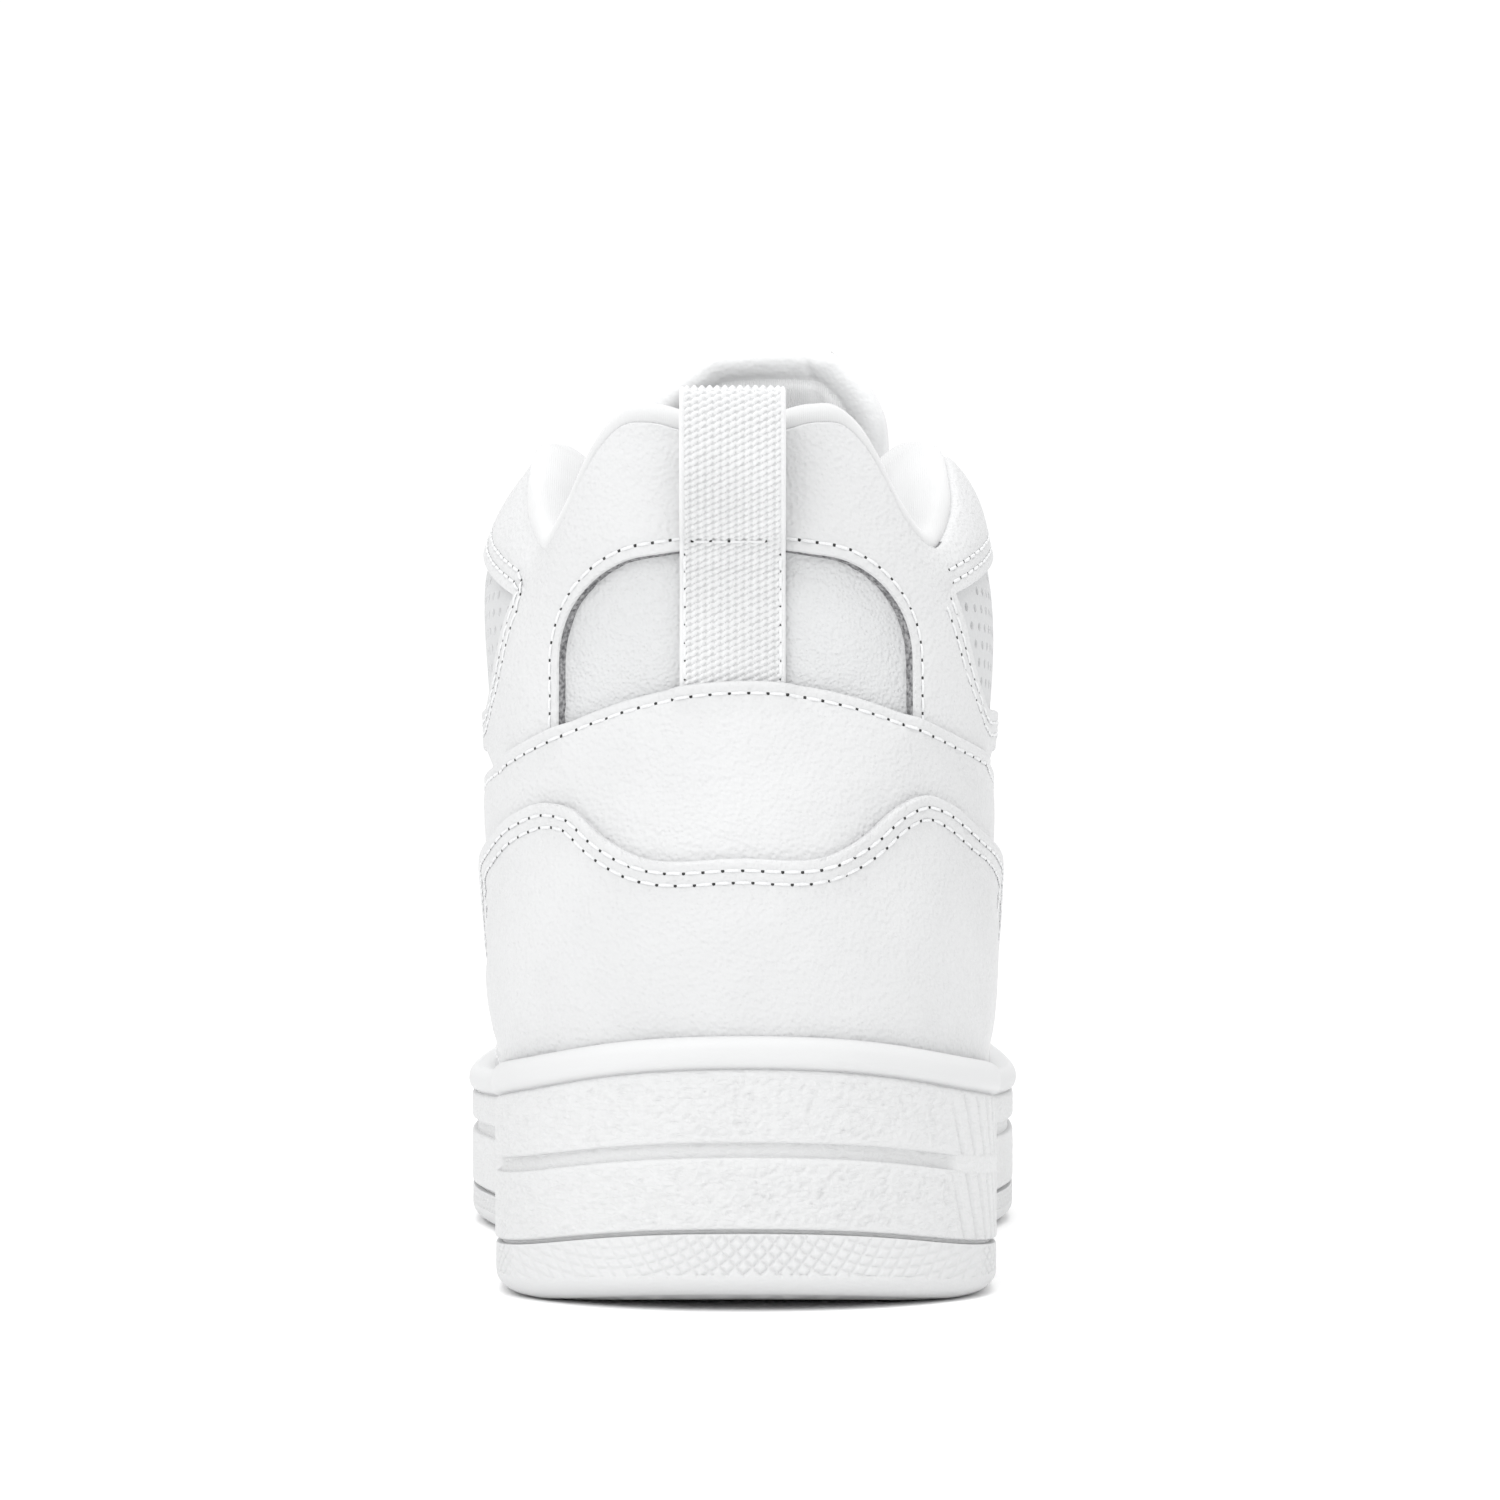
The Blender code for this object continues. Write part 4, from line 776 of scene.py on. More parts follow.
def compact(points, faces):
    """Leaves out the points that no face uses, and renumbers the faces."""
    used = np.unique(np.concatenate([np.array(f) for f in faces]))
    place = np.full(len(points), -1)
    place[used] = np.arange(len(used))
    return points[used], [tuple(place[list(f)]) for f in faces]


def thick(faces, count):
    """Faces of a closed sheet over points listed first for its low and then its high side."""
    shell = [tuple(reversed(f)) for f in faces]
    shell += [tuple(i + count for i in f) for f in faces]
    sides = {(a, b) for f in faces for a, b in zip(f, f[1:] + f[:1])}
    walls = [(a, b, b + count, a + count) for a, b in sorted(sides) if (b, a) not in sides]
    return shell, walls


def sheet(shape, panel, cell, edge_slot=EDGE_SLOT, mark=None, bevel=0.0, cut=None):
    """Adds a panel's closed mesh; mark gives the material slot of each top face's middle."""
    flat, faces = panel.mesh(cell)
    s, v = flat.T
    high = panel.high(s, v)
    low = np.minimum(panel.low(s, v), high - 0.1)
    under = flat.copy()
    if bevel:
        start = 0
        for loop in panel.loops:
            under[start:start + len(loop)] = sideways(loop, -bevel, closed=True)
            start += len(loop)
    points = np.vstack([lifted(*under.T, low), lifted(s, v, high)])
    shell, walls = thick(faces, len(flat))
    slots = np.zeros(len(shell), int)
    if mark:
        middle = flat[np.array(faces)].mean(1)
        slots[len(faces):] = mark(middle)
    kept, everything = compact(points, shell + walls)
    sides = np.full(len(walls), edge_slot)
    if cut is not None:
        middle = points[np.array([wall[:3] for wall in walls])].mean(1)
        seam_line = (away(middle, TOPLINE) < 2.0) & (middle[:, 1] < -100.0)
        sides = np.where(seam_line | (away(middle, cut) < 2.5), edge_slot, 0)
    shape.add(kept, everything, list(slots) + list(sides))


THREAD_SECTIONS = ((0.03, -0.16, 0.10), (0.12, 0.08, 0.22), (0.3, 0.17, 0.27), (0.5, 0.2, 0.28),
                   (0.7, 0.17, 0.27), (0.88, 0.08, 0.22), (0.97, -0.16, 0.10))
THREAD_SIDES = 6


def stitches(shape, sections):
    """Closed threads through sections of middle, sideways and outward vectors and width."""
    rings = []
    for middle, side, n, wide in sections:
        for k in range(THREAD_SIDES):
            angle = 2 * math.pi * k / THREAD_SIDES
            rings.append(middle + side * wide * math.cos(angle) + n * 0.62 * wide * math.sin(angle))
    rings = np.array(rings).transpose(1, 0, 2)
    size = len(sections) * THREAD_SIDES
    faces = []
    for p in range(0, size - THREAD_SIDES, THREAD_SIDES):
        q = p + THREAD_SIDES
        for k in range(THREAD_SIDES):
            m = (k + 1) % THREAD_SIDES
            faces.append((p + k, p + m, q + m, q + k))
    faces.append(tuple(reversed(range(THREAD_SIDES))))
    faces.append(tuple(range(size - THREAD_SIDES, size)))
    shape.add_many(rings, faces, THREAD_SLOT)


def thread(shape, panel, line):
    """Real stitches along a line on a panel, with a needle hole between each two."""
    path = even(np.asarray(line), SEAM_PITCH)
    if len(path) < 3:
        return
    step = path[1:] - path[:-1]
    sections = []
    for t, rise, wide in THREAD_SECTIONS:
        at = path[:-1] + step * t
        ds, dv, n = slopes(*at.T)
        along = unit(ds * step[:, :1] + dv * step[:, 1:])
        middle = lifted(*at.T, panel.high(*at.T) + rise)
        sections.append((middle, np.cross(n, along), n, wide))
    stitches(shape, sections)
    middle = lifted(*path.T, panel.high(*path.T) + HOLE_LIFT)
    ds, dv, n = slopes(*path.T)
    needle_holes(shape, middle, ds, n)


def straight_thread(shape, points, out, radius=0.3):
    """The same stitches through given points, with their outward directions."""
    points = np.asarray(points, float)
    out = np.asarray(out, float)
    step = points[1:] - points[:-1]
    along = unit(step)
    n = out[1:]
    side = np.cross(n, along)
    sections = [(points[:-1] + step * t + n * rise, side, n, wide)
                for t, rise, wide in THREAD_SECTIONS]
    stitches(shape, sections)
    needle_holes(shape, points + out * 0.03, np.vstack([along[:1], along]), out, radius)


def needle_holes(shape, middle, along, n, radius=0.33):
    """Small pits at the ends of the stitches, coloured near black: painted shade inside the needle
    holes.
    """
    u = unit(along)
    w = np.cross(n, u)
    ring = [middle + radius * (u * math.cos(a) + w * math.sin(a))
            for a in np.arange(8) * math.pi / 4]
    points = np.array(ring + [middle + n * 0.05, middle - n * 0.25]).transpose(1, 0, 2)
    faces = [(k, (k + 1) % 8, 8) for k in range(8)] + [((k + 1) % 8, k, 9) for k in range(8)]
    shape.add_many(points, faces, HOLE_SHADE_SLOT)


def seams_along(line, *offsets):
    """Rows of stitches at these distances from a line, for the panel's grooves."""
    return [(np.asarray(line), offset) for offset in offsets]


def sew(shape, panel, line, *offsets, left=True):
    """Lays rows of stitches beside a line, on its left or on its right."""
    for offset in offsets:
        moved = sideways(line, offset if left else -offset)
        thread(shape, panel, even(moved, 1.0))


LOOKS = [LEATHER, EDGE, THREAD, HOLE_SHADE]


def panel_mesh(name, piece, cell, rows, looks=LOOKS, finish="leather", **values):
    """The mesh of a panel with its rows of stitches."""
    shape = Shape()
    sheet(shape, piece, cell, **values)
    for line, offsets, left in rows:
        sew(shape, piece, line, *offsets, left=left)
    return shape.make(name, looks, finish)


FEATHER_V = 0.04         # how far up the surface the leather's hidden lower edge lies
GAP = 0.4
ON_TOP = 0.05            # height of an overlay's underside over the panels below it

# ------------------------------------------------------------------ outlines, as in the CAD
BAND_TOP_Z = 102.0
BAND_DROP = 0.008
ARCH_X = -1.7
ARCH_HALF = 28.5
ARCH_TOP = 123.2
ARCH_R = 17.0
EYELETS = 7
EYELET_R = 2.6
THROAT_HALF = 15.0
EYESTAY_WIDTH = 20.0
WEB_HALF = 8.7
WEB_X = -2.2
TOPLINE_REAR = ((0.0, 143.0), (7.0, 143.6), (13.5, 145.2), (18.0, 144.6), (21.5, 141.0),
                (24.5, 136.0), (28.0, 129.5), (31.5, 125.8))
TOPLINE_FLANK = ((-106.0, 131.5), (-95.0, 138.5), (-80.0, 142.6), (-64.0, 143.2),
                 (-50.0, 141.0))
TOPLINE_X = -2.2
SEAM_Y = ((24.0, 20.0), (26.0, 36.0), (30.0, 56.0), (36.0, 72.0))
REAR_SEAM_X = 34.0
TUCK = 5.0               # how far a panel runs on under the one that covers it


def band_top(x):
    return BAND_TOP_Z - BAND_DROP * x * x


def band_front(side):
    """The band's upper edge from the widest point forwards, falling to the waist."""
    return [flank(side, y, z) for y, z in ((-84, 86.0), (-60, 84.5), (-34, 80.0),
                                           (-8, 68.0), (10, 50.0), (19, 36.0))]


def counter_line(side, lower=0.0):
    """The wavy upper edge of the heel counter from the centre to where it meets the sole."""
    rise = 83.2 if side > 0 else 82.0
    peak = 27.5 if side > 0 else 31.5
    near = [(side * 1.0, 72.8), (side * (peak - 14.5), 73.4), (side * (peak - 9.5), 76.4),
            (side * (peak - 4.5), 81.0), (side * peak, rise), (side * (peak + 4.0), rise - 1.4),
            (side * (peak + 8.0), rise - 5.0)]
    far = [(-86.0, 68.0), (-70.0, 58.0), (-56.0, 46.0), (-48.0, 33.0)]
    points = [rear(x, z - lower) for x, z in near]
    return points + [flank(side, y, z - lower) for y, z in far]


def topline(side, lower=0.0):
    """The leather's upper edge from the centre back to the top of the eyestay."""
    near = [rear(TOPLINE_X + side * x, z - lower) for x, z in TOPLINE_REAR]
    return near + [flank(side, y, z - lower) for y, z in TOPLINE_FLANK]


def throat(side, out=0.0):
    """The edge of the lacing gap from its round lower end up to the collar."""
    stations = ((44.0, 0.62), (30.0, 0.92), (12.0, 1.0), (-4.0, 1.0), (-18.0, 1.05))
    return [above(side * (THROAT_HALF * f + out), y) for y, f in stations]


def both(line, **extra):
    """A run from the outer side round the heel to the inner side."""
    left = line(-1, **extra)
    right = line(1, **extra)
    return list(reversed(left)) + right[1:]


def feather(s0, s1, v=FEATHER_V):
    """The lower edge, hidden in the sole."""
    return run([(s0, v), ((s0 + s1) / 2, v), (s1, v)], 2.5)


TOPLINE = skin(*run(both(topline), 2.0).T)


def eyestay_inner(side, out=0.0):
    return throat(side, out) + [flank(side, -34.0, 137.0)]


def vamp_seam(side, back=0.0):
    points = [flank(side, y - back, z) for y, z in SEAM_Y]
    return points + [above(side * THROAT_HALF * 0.70, 40.0 - back)]


LOBE_ROLL = (5.0, 3.4)   # how far the outer and inner ankle lobes turn in at their top edge
LOBE_REACH = (24.0, 12.0)


def lobe(points):
    """The roll on the ankle lobes; it fades out behind the heel and at the eyestays."""
    y = points[:, 1]
    most = np.where(points[:, 0] < 0, LOBE_ROLL[0], LOBE_ROLL[1])
    return most * smooth((y + 127.0) / 14.0) * (1 - smooth((y + 68.0) / 16.0))


def roll_in(points):
    """How far the leather lies under the plain surface near the top of the ankle lobes."""
    gap = away(points, TOPLINE)
    outer = points[:, 0] < 0
    t = np.clip(1 - gap / np.where(outer, LOBE_REACH[0], LOBE_REACH[1]), 0, 1)
    return lobe(points) * np.where(outer, t ** 1.6, 1 - np.sqrt(1 - 0.98 * t * t))


def quarter_top(side):
    return [flank(side, y, z - GAP) for y, z in TOPLINE_FLANK]


ANKLE_WINDOW = ((-117.0, 117.0), (-104.0, 120.5), (-84.0, 124.5), (-66.0, 126.5), (-58.0, 122.0),
                (-52.0, 108.0), (-50.0, 100.0), (-56.0, 97.0), (-74.0, 97.2), (-94.0, 97.8),
                (-106.0, 98.5), (-111.0, 103.0))
WINDOW_SHIFT = 6.0       # the outer window starts this much further forward
OVERLAY_FRONT = ((-38.0, 134.0), (-34.0, 122.0), (-28.0, 108.0), (-24.0, 96.0))
OVERLAY_FOOT = ((-40.0, 88.0), (-60.0, 90.0), (-84.0, 91.0), (-98.0, 91.3))


def ankle_window(side):
    shift = 0.0 if side > 0 else WINDOW_SHIFT
    points = [flank(side, y + shift * (y < -100.0), z) for y, z in ANKLE_WINDOW]
    return run(points + [points[0]])[:-1]


def arch():
    """The window behind the heel, as a run from its left foot over the top to the right."""
    low = BAND_TOP_Z - 8.0
    legs = (low - TUCK, low + 3.0, 105.0)
    sides = (ARCH_X - ARCH_HALF, ARCH_X + ARCH_HALF)
    points = [rear(sides[0], z) for z in legs]
    for start, x in ((math.pi, sides[0] + ARCH_R), (math.pi / 2, sides[1] - ARCH_R)):
        for k in range(5):
            angle = start - k * math.pi / 8
            points.append(rear(x + ARCH_R * math.cos(angle),
                               ARCH_TOP - ARCH_R + ARCH_R * math.sin(angle)))
    return points + [rear(sides[1], z) for z in reversed(legs)]


# ------------------------------------------------------------------ base panels
def flat_base(height):
    return lambda s, v, points: np.full(len(points), height)


def hex_lattice(loop, pitch, margin):
    """Places of perforations: a staggered lattice inside a loop, clear of its edge."""
    scale = flat_scale(loop)
    spots = staggered(loop * scale, pitch) / scale
    edge = skin(*np.vstack([loop, loop[:1]]).T)
    return spots[away(skin(*spots.T), edge) > margin]


PERFORATION_R = 0.55


def quarter(side):
    """Side panel: perforated behind the ankle window, lapped over the vamp at its front."""
    name = "quarter_medial_leather" if side > 0 else "quarter_lateral_leather"
    seam_line = [rear(side * REAR_SEAM_X, z) for z in (125.0, 105.0, 85.0, 65.0, 45.0, 31.0)]
    bottom = feather(side * abs(seam_line[-1][0]), flank(side, 27.0, 22.0)[0])
    front = vamp_seam(side, back=-TUCK)
    edge = [p for p in throat(side) if abs(p[0]) < abs(front[-1][0]) + 0.05][1:]
    edge = [front[-1]] + edge + [flank(side, -34.0, 138.0)]
    top = list(reversed(quarter_top(side)))
    lip = run([tuple(bottom[-1])] + front[1:])
    outline = chain(run(seam_line, 3.0), bottom, lip, run(edge), run([edge[-1]] + top),
                    run([top[-1], seam_line[0]], 3.0))
    window = ankle_window(side)
    holes = [circle(place, PERFORATION_R, 8) for place in hex_lattice(window, 3.6, 1.6)]
    holes += [circle(eyelet_place(side, n), EYELET_R, 20) for n in range(EYELETS)]
    lip_3d = skin(*lip.T)

    def base(s, v, points):
        lap = 1.35 * (1 - smooth((away(points, lip_3d) - TUCK) / 3.0))
        return -1.3 + lap - roll_in(points)

    seams = seams_along(lip, 2.0, 4.2)
    piece = Panel(outline, base, 1.3, holes, seams, puff=0.0, insets=(0.3, 0.9, 1.6))

    def mark(middle):
        return np.where(within(middle, window), WINDOW_SLOT, 0)

    obj = panel_mesh(name, piece, 2.6, [(lip[4:-6], (2.0, 4.2), side > 0)],
                     LOOKS + [LEATHER_GREY], "leather_perforated", mark=mark)
    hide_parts("quarter_medial" if side > 0 else "quarter_lateral")


def eyelet_place(side, n):
    """Centre of an eyelet, counted from the toe end."""
    t = n / (EYELETS - 1)
    line = old_run(eyestay_inner(side, 6.5), 2.0)
    start = 0.22
    at = (start + (0.93 - start) * t) * (len(line) - 1)
    i = int(at)
    f = at - i
    j = min(i + 1, len(line) - 1)
    return tuple(line[i][a] * (1 - f) + line[j][a] * f for a in (0, 1))


def old_run(points, step):
    """A curve sampled as the CAD samples it, so that the eyelets fall on the same places."""
    dense = curve(points)
    size = lengths(dense * (SCALE_S, SCALE_V))
    at = np.linspace(0, size[-1], max(1, round(size[-1] / step)) + 1)
    return np.stack([np.interp(at, size, dense[:, 0]), np.interp(at, size, dense[:, 1])], 1)


def vamp():
    """Toe panel with a field of perforations on top of the toe box."""
    right = [wrap(p) for p in vamp_seam(1)]
    left = [wrap(p) for p in vamp_seam(-1)]
    front = above(0.0, 46.0)
    arc = [right[-1], wrap(above(THROAT_HALF * 0.45, 44.6)), wrap(front),
           wrap(above(-THROAT_HALF * 0.45, 44.6)), left[-1]]
    bottom = feather(right[0][0], left[0][0])
    outline = chain(bottom, run(left), run(list(reversed(arc))), run(list(reversed(right))))
    field = run([wrap(above(x, y)) for x, y in ((0.0, 56.0), (15.0, 60.0), (24.0, 74.0),
                                                (21.0, 90.0), (5.0, 99.0), (-14.0, 92.0),
                                                (-20.0, 76.0), (-14.0, 60.0), (0.0, 56.0))])[:-1]
    holes = [circle(place, PERFORATION_R, 8) for place in hex_lattice(field, 5.0, 1.5)]
    piece = Panel(outline, flat_base(-1.3), 1.3, holes, puff=0.0, crease=0.3,
                  insets=(0.3, 0.9, 1.6))
    obj = panel_mesh("vamp_leather", piece, 2.6, [])
    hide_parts("vamp")


def in_arch(points):
    """1 inside the arched window, 0 outside it."""
    x = np.abs(points[:, 0] - HEEL_X - ARCH_X)
    z = points[:, 2]
    corner = np.hypot(np.maximum(x - ARCH_HALF + ARCH_R, 0), np.maximum(z - ARCH_TOP + ARCH_R, 0))
    return smooth((ARCH_R + 0.4 - corner) / 1.6)


def heel_panel():
    seam_x = REAR_SEAM_X - 0.7
    line = [rear(seam_x, z) for z in (31.0, 45.0, 65.0, 85.0, 105.0, 124.0)]
    other = [rear(-seam_x, z) for z in (124.0, 105.0, 85.0, 65.0, 45.0, 31.0)]
    near = [rear(TOPLINE_X + x, z - GAP) for x, z in TOPLINE_REAR[:-1]]
    back = [rear(TOPLINE_X - x, z - GAP) for x, z in TOPLINE_REAR[:-1]]
    top = [line[-1]] + list(reversed(near)) + back[1:] + [other[0]]
    bottom = feather(other[-1][0], line[0][0])
    outline = chain(bottom, run([tuple(bottom[-1])] + line[1:], 2.5), run(top),
                    run(other[:-1] + [tuple(bottom[0])], 2.5))

    def base(s, v, points):
        return -1.3 - 0.7 * in_arch(points)

    piece = Panel(outline, base, 1.3, puff=0.0, crease=0.22, insets=(0.3, 0.9))
    obj = panel_mesh("heel_inset_leather", piece, 1.7, [],
                     [LEATHER_INSET, EDGE, THREAD, HOLE_SHADE], "leather_inset")
    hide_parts("heel_panel")


# ------------------------------------------------------------------ overlays
def above_band(points):
    """1 above the band's edge, falling to 0 where the part tucked under it ends."""
    return 1 - smooth((band_top(points[:, 0] - HEEL_X) - points[:, 2]) / TUCK)


def taper_under_band(points):
    return np.where(points[:, 1] < -100.0, above_band(points), 1.0)


def collar_overlay():
    """The leather round the ankle, with an arched window at the back and one on each side."""
    window = run(arch())
    cut = skin(*window.T)
    left_foot = [flank(-1, y, z) for y, z in OVERLAY_FOOT]
    left_foot += [rear(x, band_top(x) - TUCK) for x in (-38.0, -35.0)]
    left_foot += [tuple(window[0])]
    right_foot = [tuple(window[-1])]
    right_foot += [rear(x, band_top(x) - TUCK) for x in (35.0, 38.0)]
    right_foot += [flank(1, y, z) for y, z in reversed(OVERLAY_FOOT)]
    front_r = [flank(1, y, z) for y, z in reversed(OVERLAY_FRONT)]
    front_l = [flank(-1, y, z) for y, z in OVERLAY_FRONT]
    top = run(list(reversed(both(topline, lower=0.3))))
    foot_l = run(left_foot)
    foot_r = run(right_foot)
    edge_r = run([right_foot[-1]] + front_r)
    edge_l = run([tuple(top[-1])] + front_l)
    outline = chain(foot_l, window, foot_r, edge_r, run([front_r[-1], tuple(top[0])]), top,
                    edge_l, run([front_l[-1], left_foot[0]]))
    windows = [ankle_window(-1), ankle_window(1)]
    closed = [np.vstack([w, w[:1]]) for w in windows]
    seams = seams_along(window, 2.0)
    for loop in closed:
        seams += seams_along(loop, 2.0, 4.0)

    def base(s, v, points):
        return ON_TOP - 1.1 * (1 - taper_under_band(points)) - roll_in(points)

    def sink(points):
        return 0.45 * smooth((2.0 - away(points, cut)) / 1.0)

    piece = Panel(outline, base, 1.45, windows, seams, puff=0.2, rounding=0.32, crease=0.2,
                  sink=sink, insets=TWO_ROWS)
    visible = window[(skin(*window.T)[:, 2] > 94.0)]
    rows = [(visible, (2.0,), True)]
    for loop in closed:
        direction = ordered(loop[:-1], -1)
        rows.append((np.vstack([direction, direction[:1]]), (2.0, 4.0), True))
    obj = panel_mesh("collar_leather", piece, 1.9, rows, [LEATHER, RAW, THREAD, HOLE_SHADE],
                     bevel=0.18, cut=cut)
    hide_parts("collar_overlay")


def under_band(points):
    """Height of what lies under the band's upper edge."""
    x = points[:, 0] - HEEL_X
    lap = 1.45 * above_band(points)
    outside = smooth((np.abs(x - ARCH_X) - ARCH_HALF + 2.5) / 3.0)
    outside *= 1 - smooth((np.abs(x) - 38.0) / 2.0)
    strap = 1 - smooth((np.abs(x - WEB_X) - WEB_HALF + 0.5) / 2.5)
    back = np.where(points[:, 1] < -100.0, 1.0, 0.0)
    return back * lap * np.maximum(outside, strap)


def heel_band():
    """Band round the heel whose ends run forwards and down to the waist."""
    xs = (-39.0, -33.0, -26.0, -18.0, -9.0, 0.0, 9.0, 18.0, 26.0, 33.0, 39.0)
    middle = [rear(x, band_top(x)) for x in xs]
    upper = run(list(reversed(band_front(-1))) + middle + band_front(1))
    low_right = list(reversed(counter_line(1, lower=TUCK)))
    low_left = counter_line(-1, lower=TUCK)
    sole_r = [flank(1, y, 30.0) for y in (18.0, -10.0, -40.0)]
    sole_l = [flank(-1, y, 30.0) for y in (-40.0, -10.0, 18.0)]
    lower = sole_r + low_right[2:] + low_left[1:-2] + sole_l
    outline = chain(upper, run([tuple(upper[-1])] + lower, 2.0), run([lower[-1], tuple(upper[0])]))

    def base(s, v, points):
        return ON_TOP + under_band(points)

    piece = Panel(outline, base, 1.6, (), seams_along(upper, 2.0), puff=0.35, rounding=0.7,
                  crease=0.28)
    obj = panel_mesh("heel_band_leather", piece, 1.7, [(upper, (2.0,), False)])
    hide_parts("heel_band")


def heel_counter():
    """Wrap of the heel under the band, with a wavy edge and two rows of stitches."""
    right = counter_line(1)
    left = counter_line(-1)
    upper = run(list(reversed(left)) + right[1:], 1.1)
    bottom = feather(right[-1][0], left[-1][0], FEATHER_V + 0.06)
    outline = chain(upper, run([tuple(upper[-1]), tuple(bottom[0])], 2.0), bottom,
                    run([tuple(bottom[-1]), tuple(upper[0])], 2.0))
    line = skin(*upper.T)

    def base(s, v, points):
        return 0.1 + 1.75 * (1 - smooth((away(points, line) - 0.5) / 6.0))

    piece = Panel(outline, base, 1.75, (), seams_along(upper, 2.0, 3.9), puff=0.25,
                  rounding=0.6, crease=0.3, insets=TWO_ROWS)
    obj = panel_mesh("heel_counter_leather", piece, 1.8, [(upper, (2.0, 3.9), False)])
    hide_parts("heel_counter")


def eyestay(side):
    name = "eyestay_medial" if side > 0 else "eyestay_lateral"
    inner = eyestay_inner(side, 0.8)
    outer = [above(side * (THROAT_HALF * 0.62 + EYESTAY_WIDTH * 0.55), 50.0)]
    outer += [flank(side, y, z) for y, z in ((40.0, 70.0), (24.0, 77.0), (6.0, 87.0),
                                             (-10.0, 99.0), (-21.0, 112.0), (-29.0, 124.0),
                                             (-36.0, 135.0))]
    top = [flank(side, -34.6, 138.0)]
    edge = run(inner + top)
    back = run(top + list(reversed(outer)))
    outline = chain(edge, back, run([outer[0], inner[0]]))
    holes = [circle(eyelet_place(side, n), EYELET_R, 20) for n in range(EYELETS)]
    seams = seams_along(edge, 2.0) + seams_along(back, 2.0, 4.0)
    piece = Panel(outline, flat_base(ON_TOP), 1.55, holes, seams, puff=0.2)
    rows = [(edge[2:-2], (2.0,), flip_left(edge, piece)),
            (back[2:-2], (2.0, 4.0), flip_left(back, piece))]
    obj = panel_mesh(name + "_leather", piece, 2.2, rows)
    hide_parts(name)


def flip_left(line, piece):
    """Whether the inside of the piece lies to the left of the line."""
    test = sideways(line[len(line) // 2 - 2:len(line) // 2 + 3], 1.5)[2:3]
    return bool(within(test, piece.loops[0])[0])


def toe_overlay():
    """Mudguard that wraps the toe, highest at its tip."""
    line = [(20.0, 33.0), (44.0, 36.0), (70.0, 42.0)]
    right = [wrap(flank(1, y, z)) for y, z in line]
    left = [wrap(flank(-1, y, z)) for y, z in line]
    arc = [wrap(above(x, y)) for x, y in ((29.0, 101.0), (16.0, 110.0), (5.0, 112.0),
                                          (-8.0, 109.0), (-22.0, 99.0))]
    upper = run(right + arc + list(reversed(left)))
    bottom = feather(left[0][0], right[0][0], FEATHER_V + 0.08)
    outline = chain(upper, run([tuple(upper[-1]), tuple(bottom[0])]), bottom,
                    run([tuple(bottom[-1]), tuple(upper[0])]))
    piece = Panel(outline, flat_base(ON_TOP), 1.5, (), seams_along(upper, 2.0, 4.0),
                  crease=0.25)
    rows = [(upper, (2.0, 4.0), flip_left(upper, piece))]
    obj = panel_mesh("toe_overlay_leather", piece, 2.4, rows)
    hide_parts("toe_overlay")


# ------------------------------------------------------------------ sole
SOLE_HEEL_R = 44.0
SOLE_FRONT = 149.0
SOLE_TOE_R = 92.0
SOLE_TIP_X = 8.0
SOLE_WIDTHS_MEDIAL = (42.4, 41.5, 52.0)
SOLE_WIDTHS_LATERAL = (42.4, 43.5, 53.5)
LEVEL_Y = (-149.0, -127.0, -105.0, -25.0, 55.0, 149.0)
GROUND = (2.3, 0.0, 0.0, 0.0, 0.0, 9.5)
PART_LINE = (13.0, 9.6, 8.4, 7.6, 7.6, 16.5)
GROOVE_LOW = (24.9, 21.2, 19.9, 18.2, 17.6, 24.0)
GROOVE_HIGH = (27.3, 23.7, 22.4, 20.6, 20.0, 26.4)
BAND_TOP = (39.1, 34.6, 32.4, 27.6, 25.0, 31.8)
BEAD_TOP = (44.6, 40.2, 38.0, 32.6, 30.0, 37.0)
FLOOR = (7.8, 7.8, 7.8, 7.6, 7.6, 15.5)
FOOTBED = (21.0, 21.0, 21.0, 19.0, 16.5, 22.5)
GROOVE_DEPTH = 1.1
BEAD_PROUD = 0.7
SOLE_COLUMNS = 900
HEEL_DENSITY = 0.62      # how much closer the columns stand at the heel


def level(values, y):
    return np.maximum(hermite(y, LEVEL_Y, values), 0.0)


def sole_net():
    ring = (SOLE_BACK, SOLE_HEEL_R, SOLE_FRONT, SOLE_TOE_R, 0.0, SOLE_TIP_X,
            SOLE_WIDTHS_MEDIAL, SOLE_WIDTHS_LATERAL, (0.0,) * 5)
    return spline_net(np.array([ring_points(ring)] * 4))[2]


SOLE_NET = sole_net()


def outline_at(s):
    cols = len(SOLE_NET)
    u = np.asarray(s, float) * cols
    i = np.floor(u).astype(int)
    b = basis(u - i)
    return sum(b[:, a:a + 1] * SOLE_NET[(i + a - 1) % cols] for a in range(4))[:, :2]


def sole_columns(count):
    t = np.arange(count) / count
    return t - HEEL_DENSITY / (2 * math.pi) * np.sin(2 * math.pi * t)


def sole_ring(s, off):
    """Plan of the sole's outline at columns s, moved outwards by off."""
    step = outline_at(s + 0.002) - outline_at(s - 0.002)
    out = unit(np.stack([step[:, 1], -step[:, 0]], 1))
    return outline_at(s) + out * np.asarray(off, float).reshape(-1, 1)


def upper_ring(s, values, off, lift=0.0):
    """The ring where the upper, thickened by off, crosses a level of the sole."""
    y = outline_at(s)[:, 1]
    z = level(values, y) + lift
    points = lifted(s, v_at(s, z), off)
    points[:, 2] = z
    return points


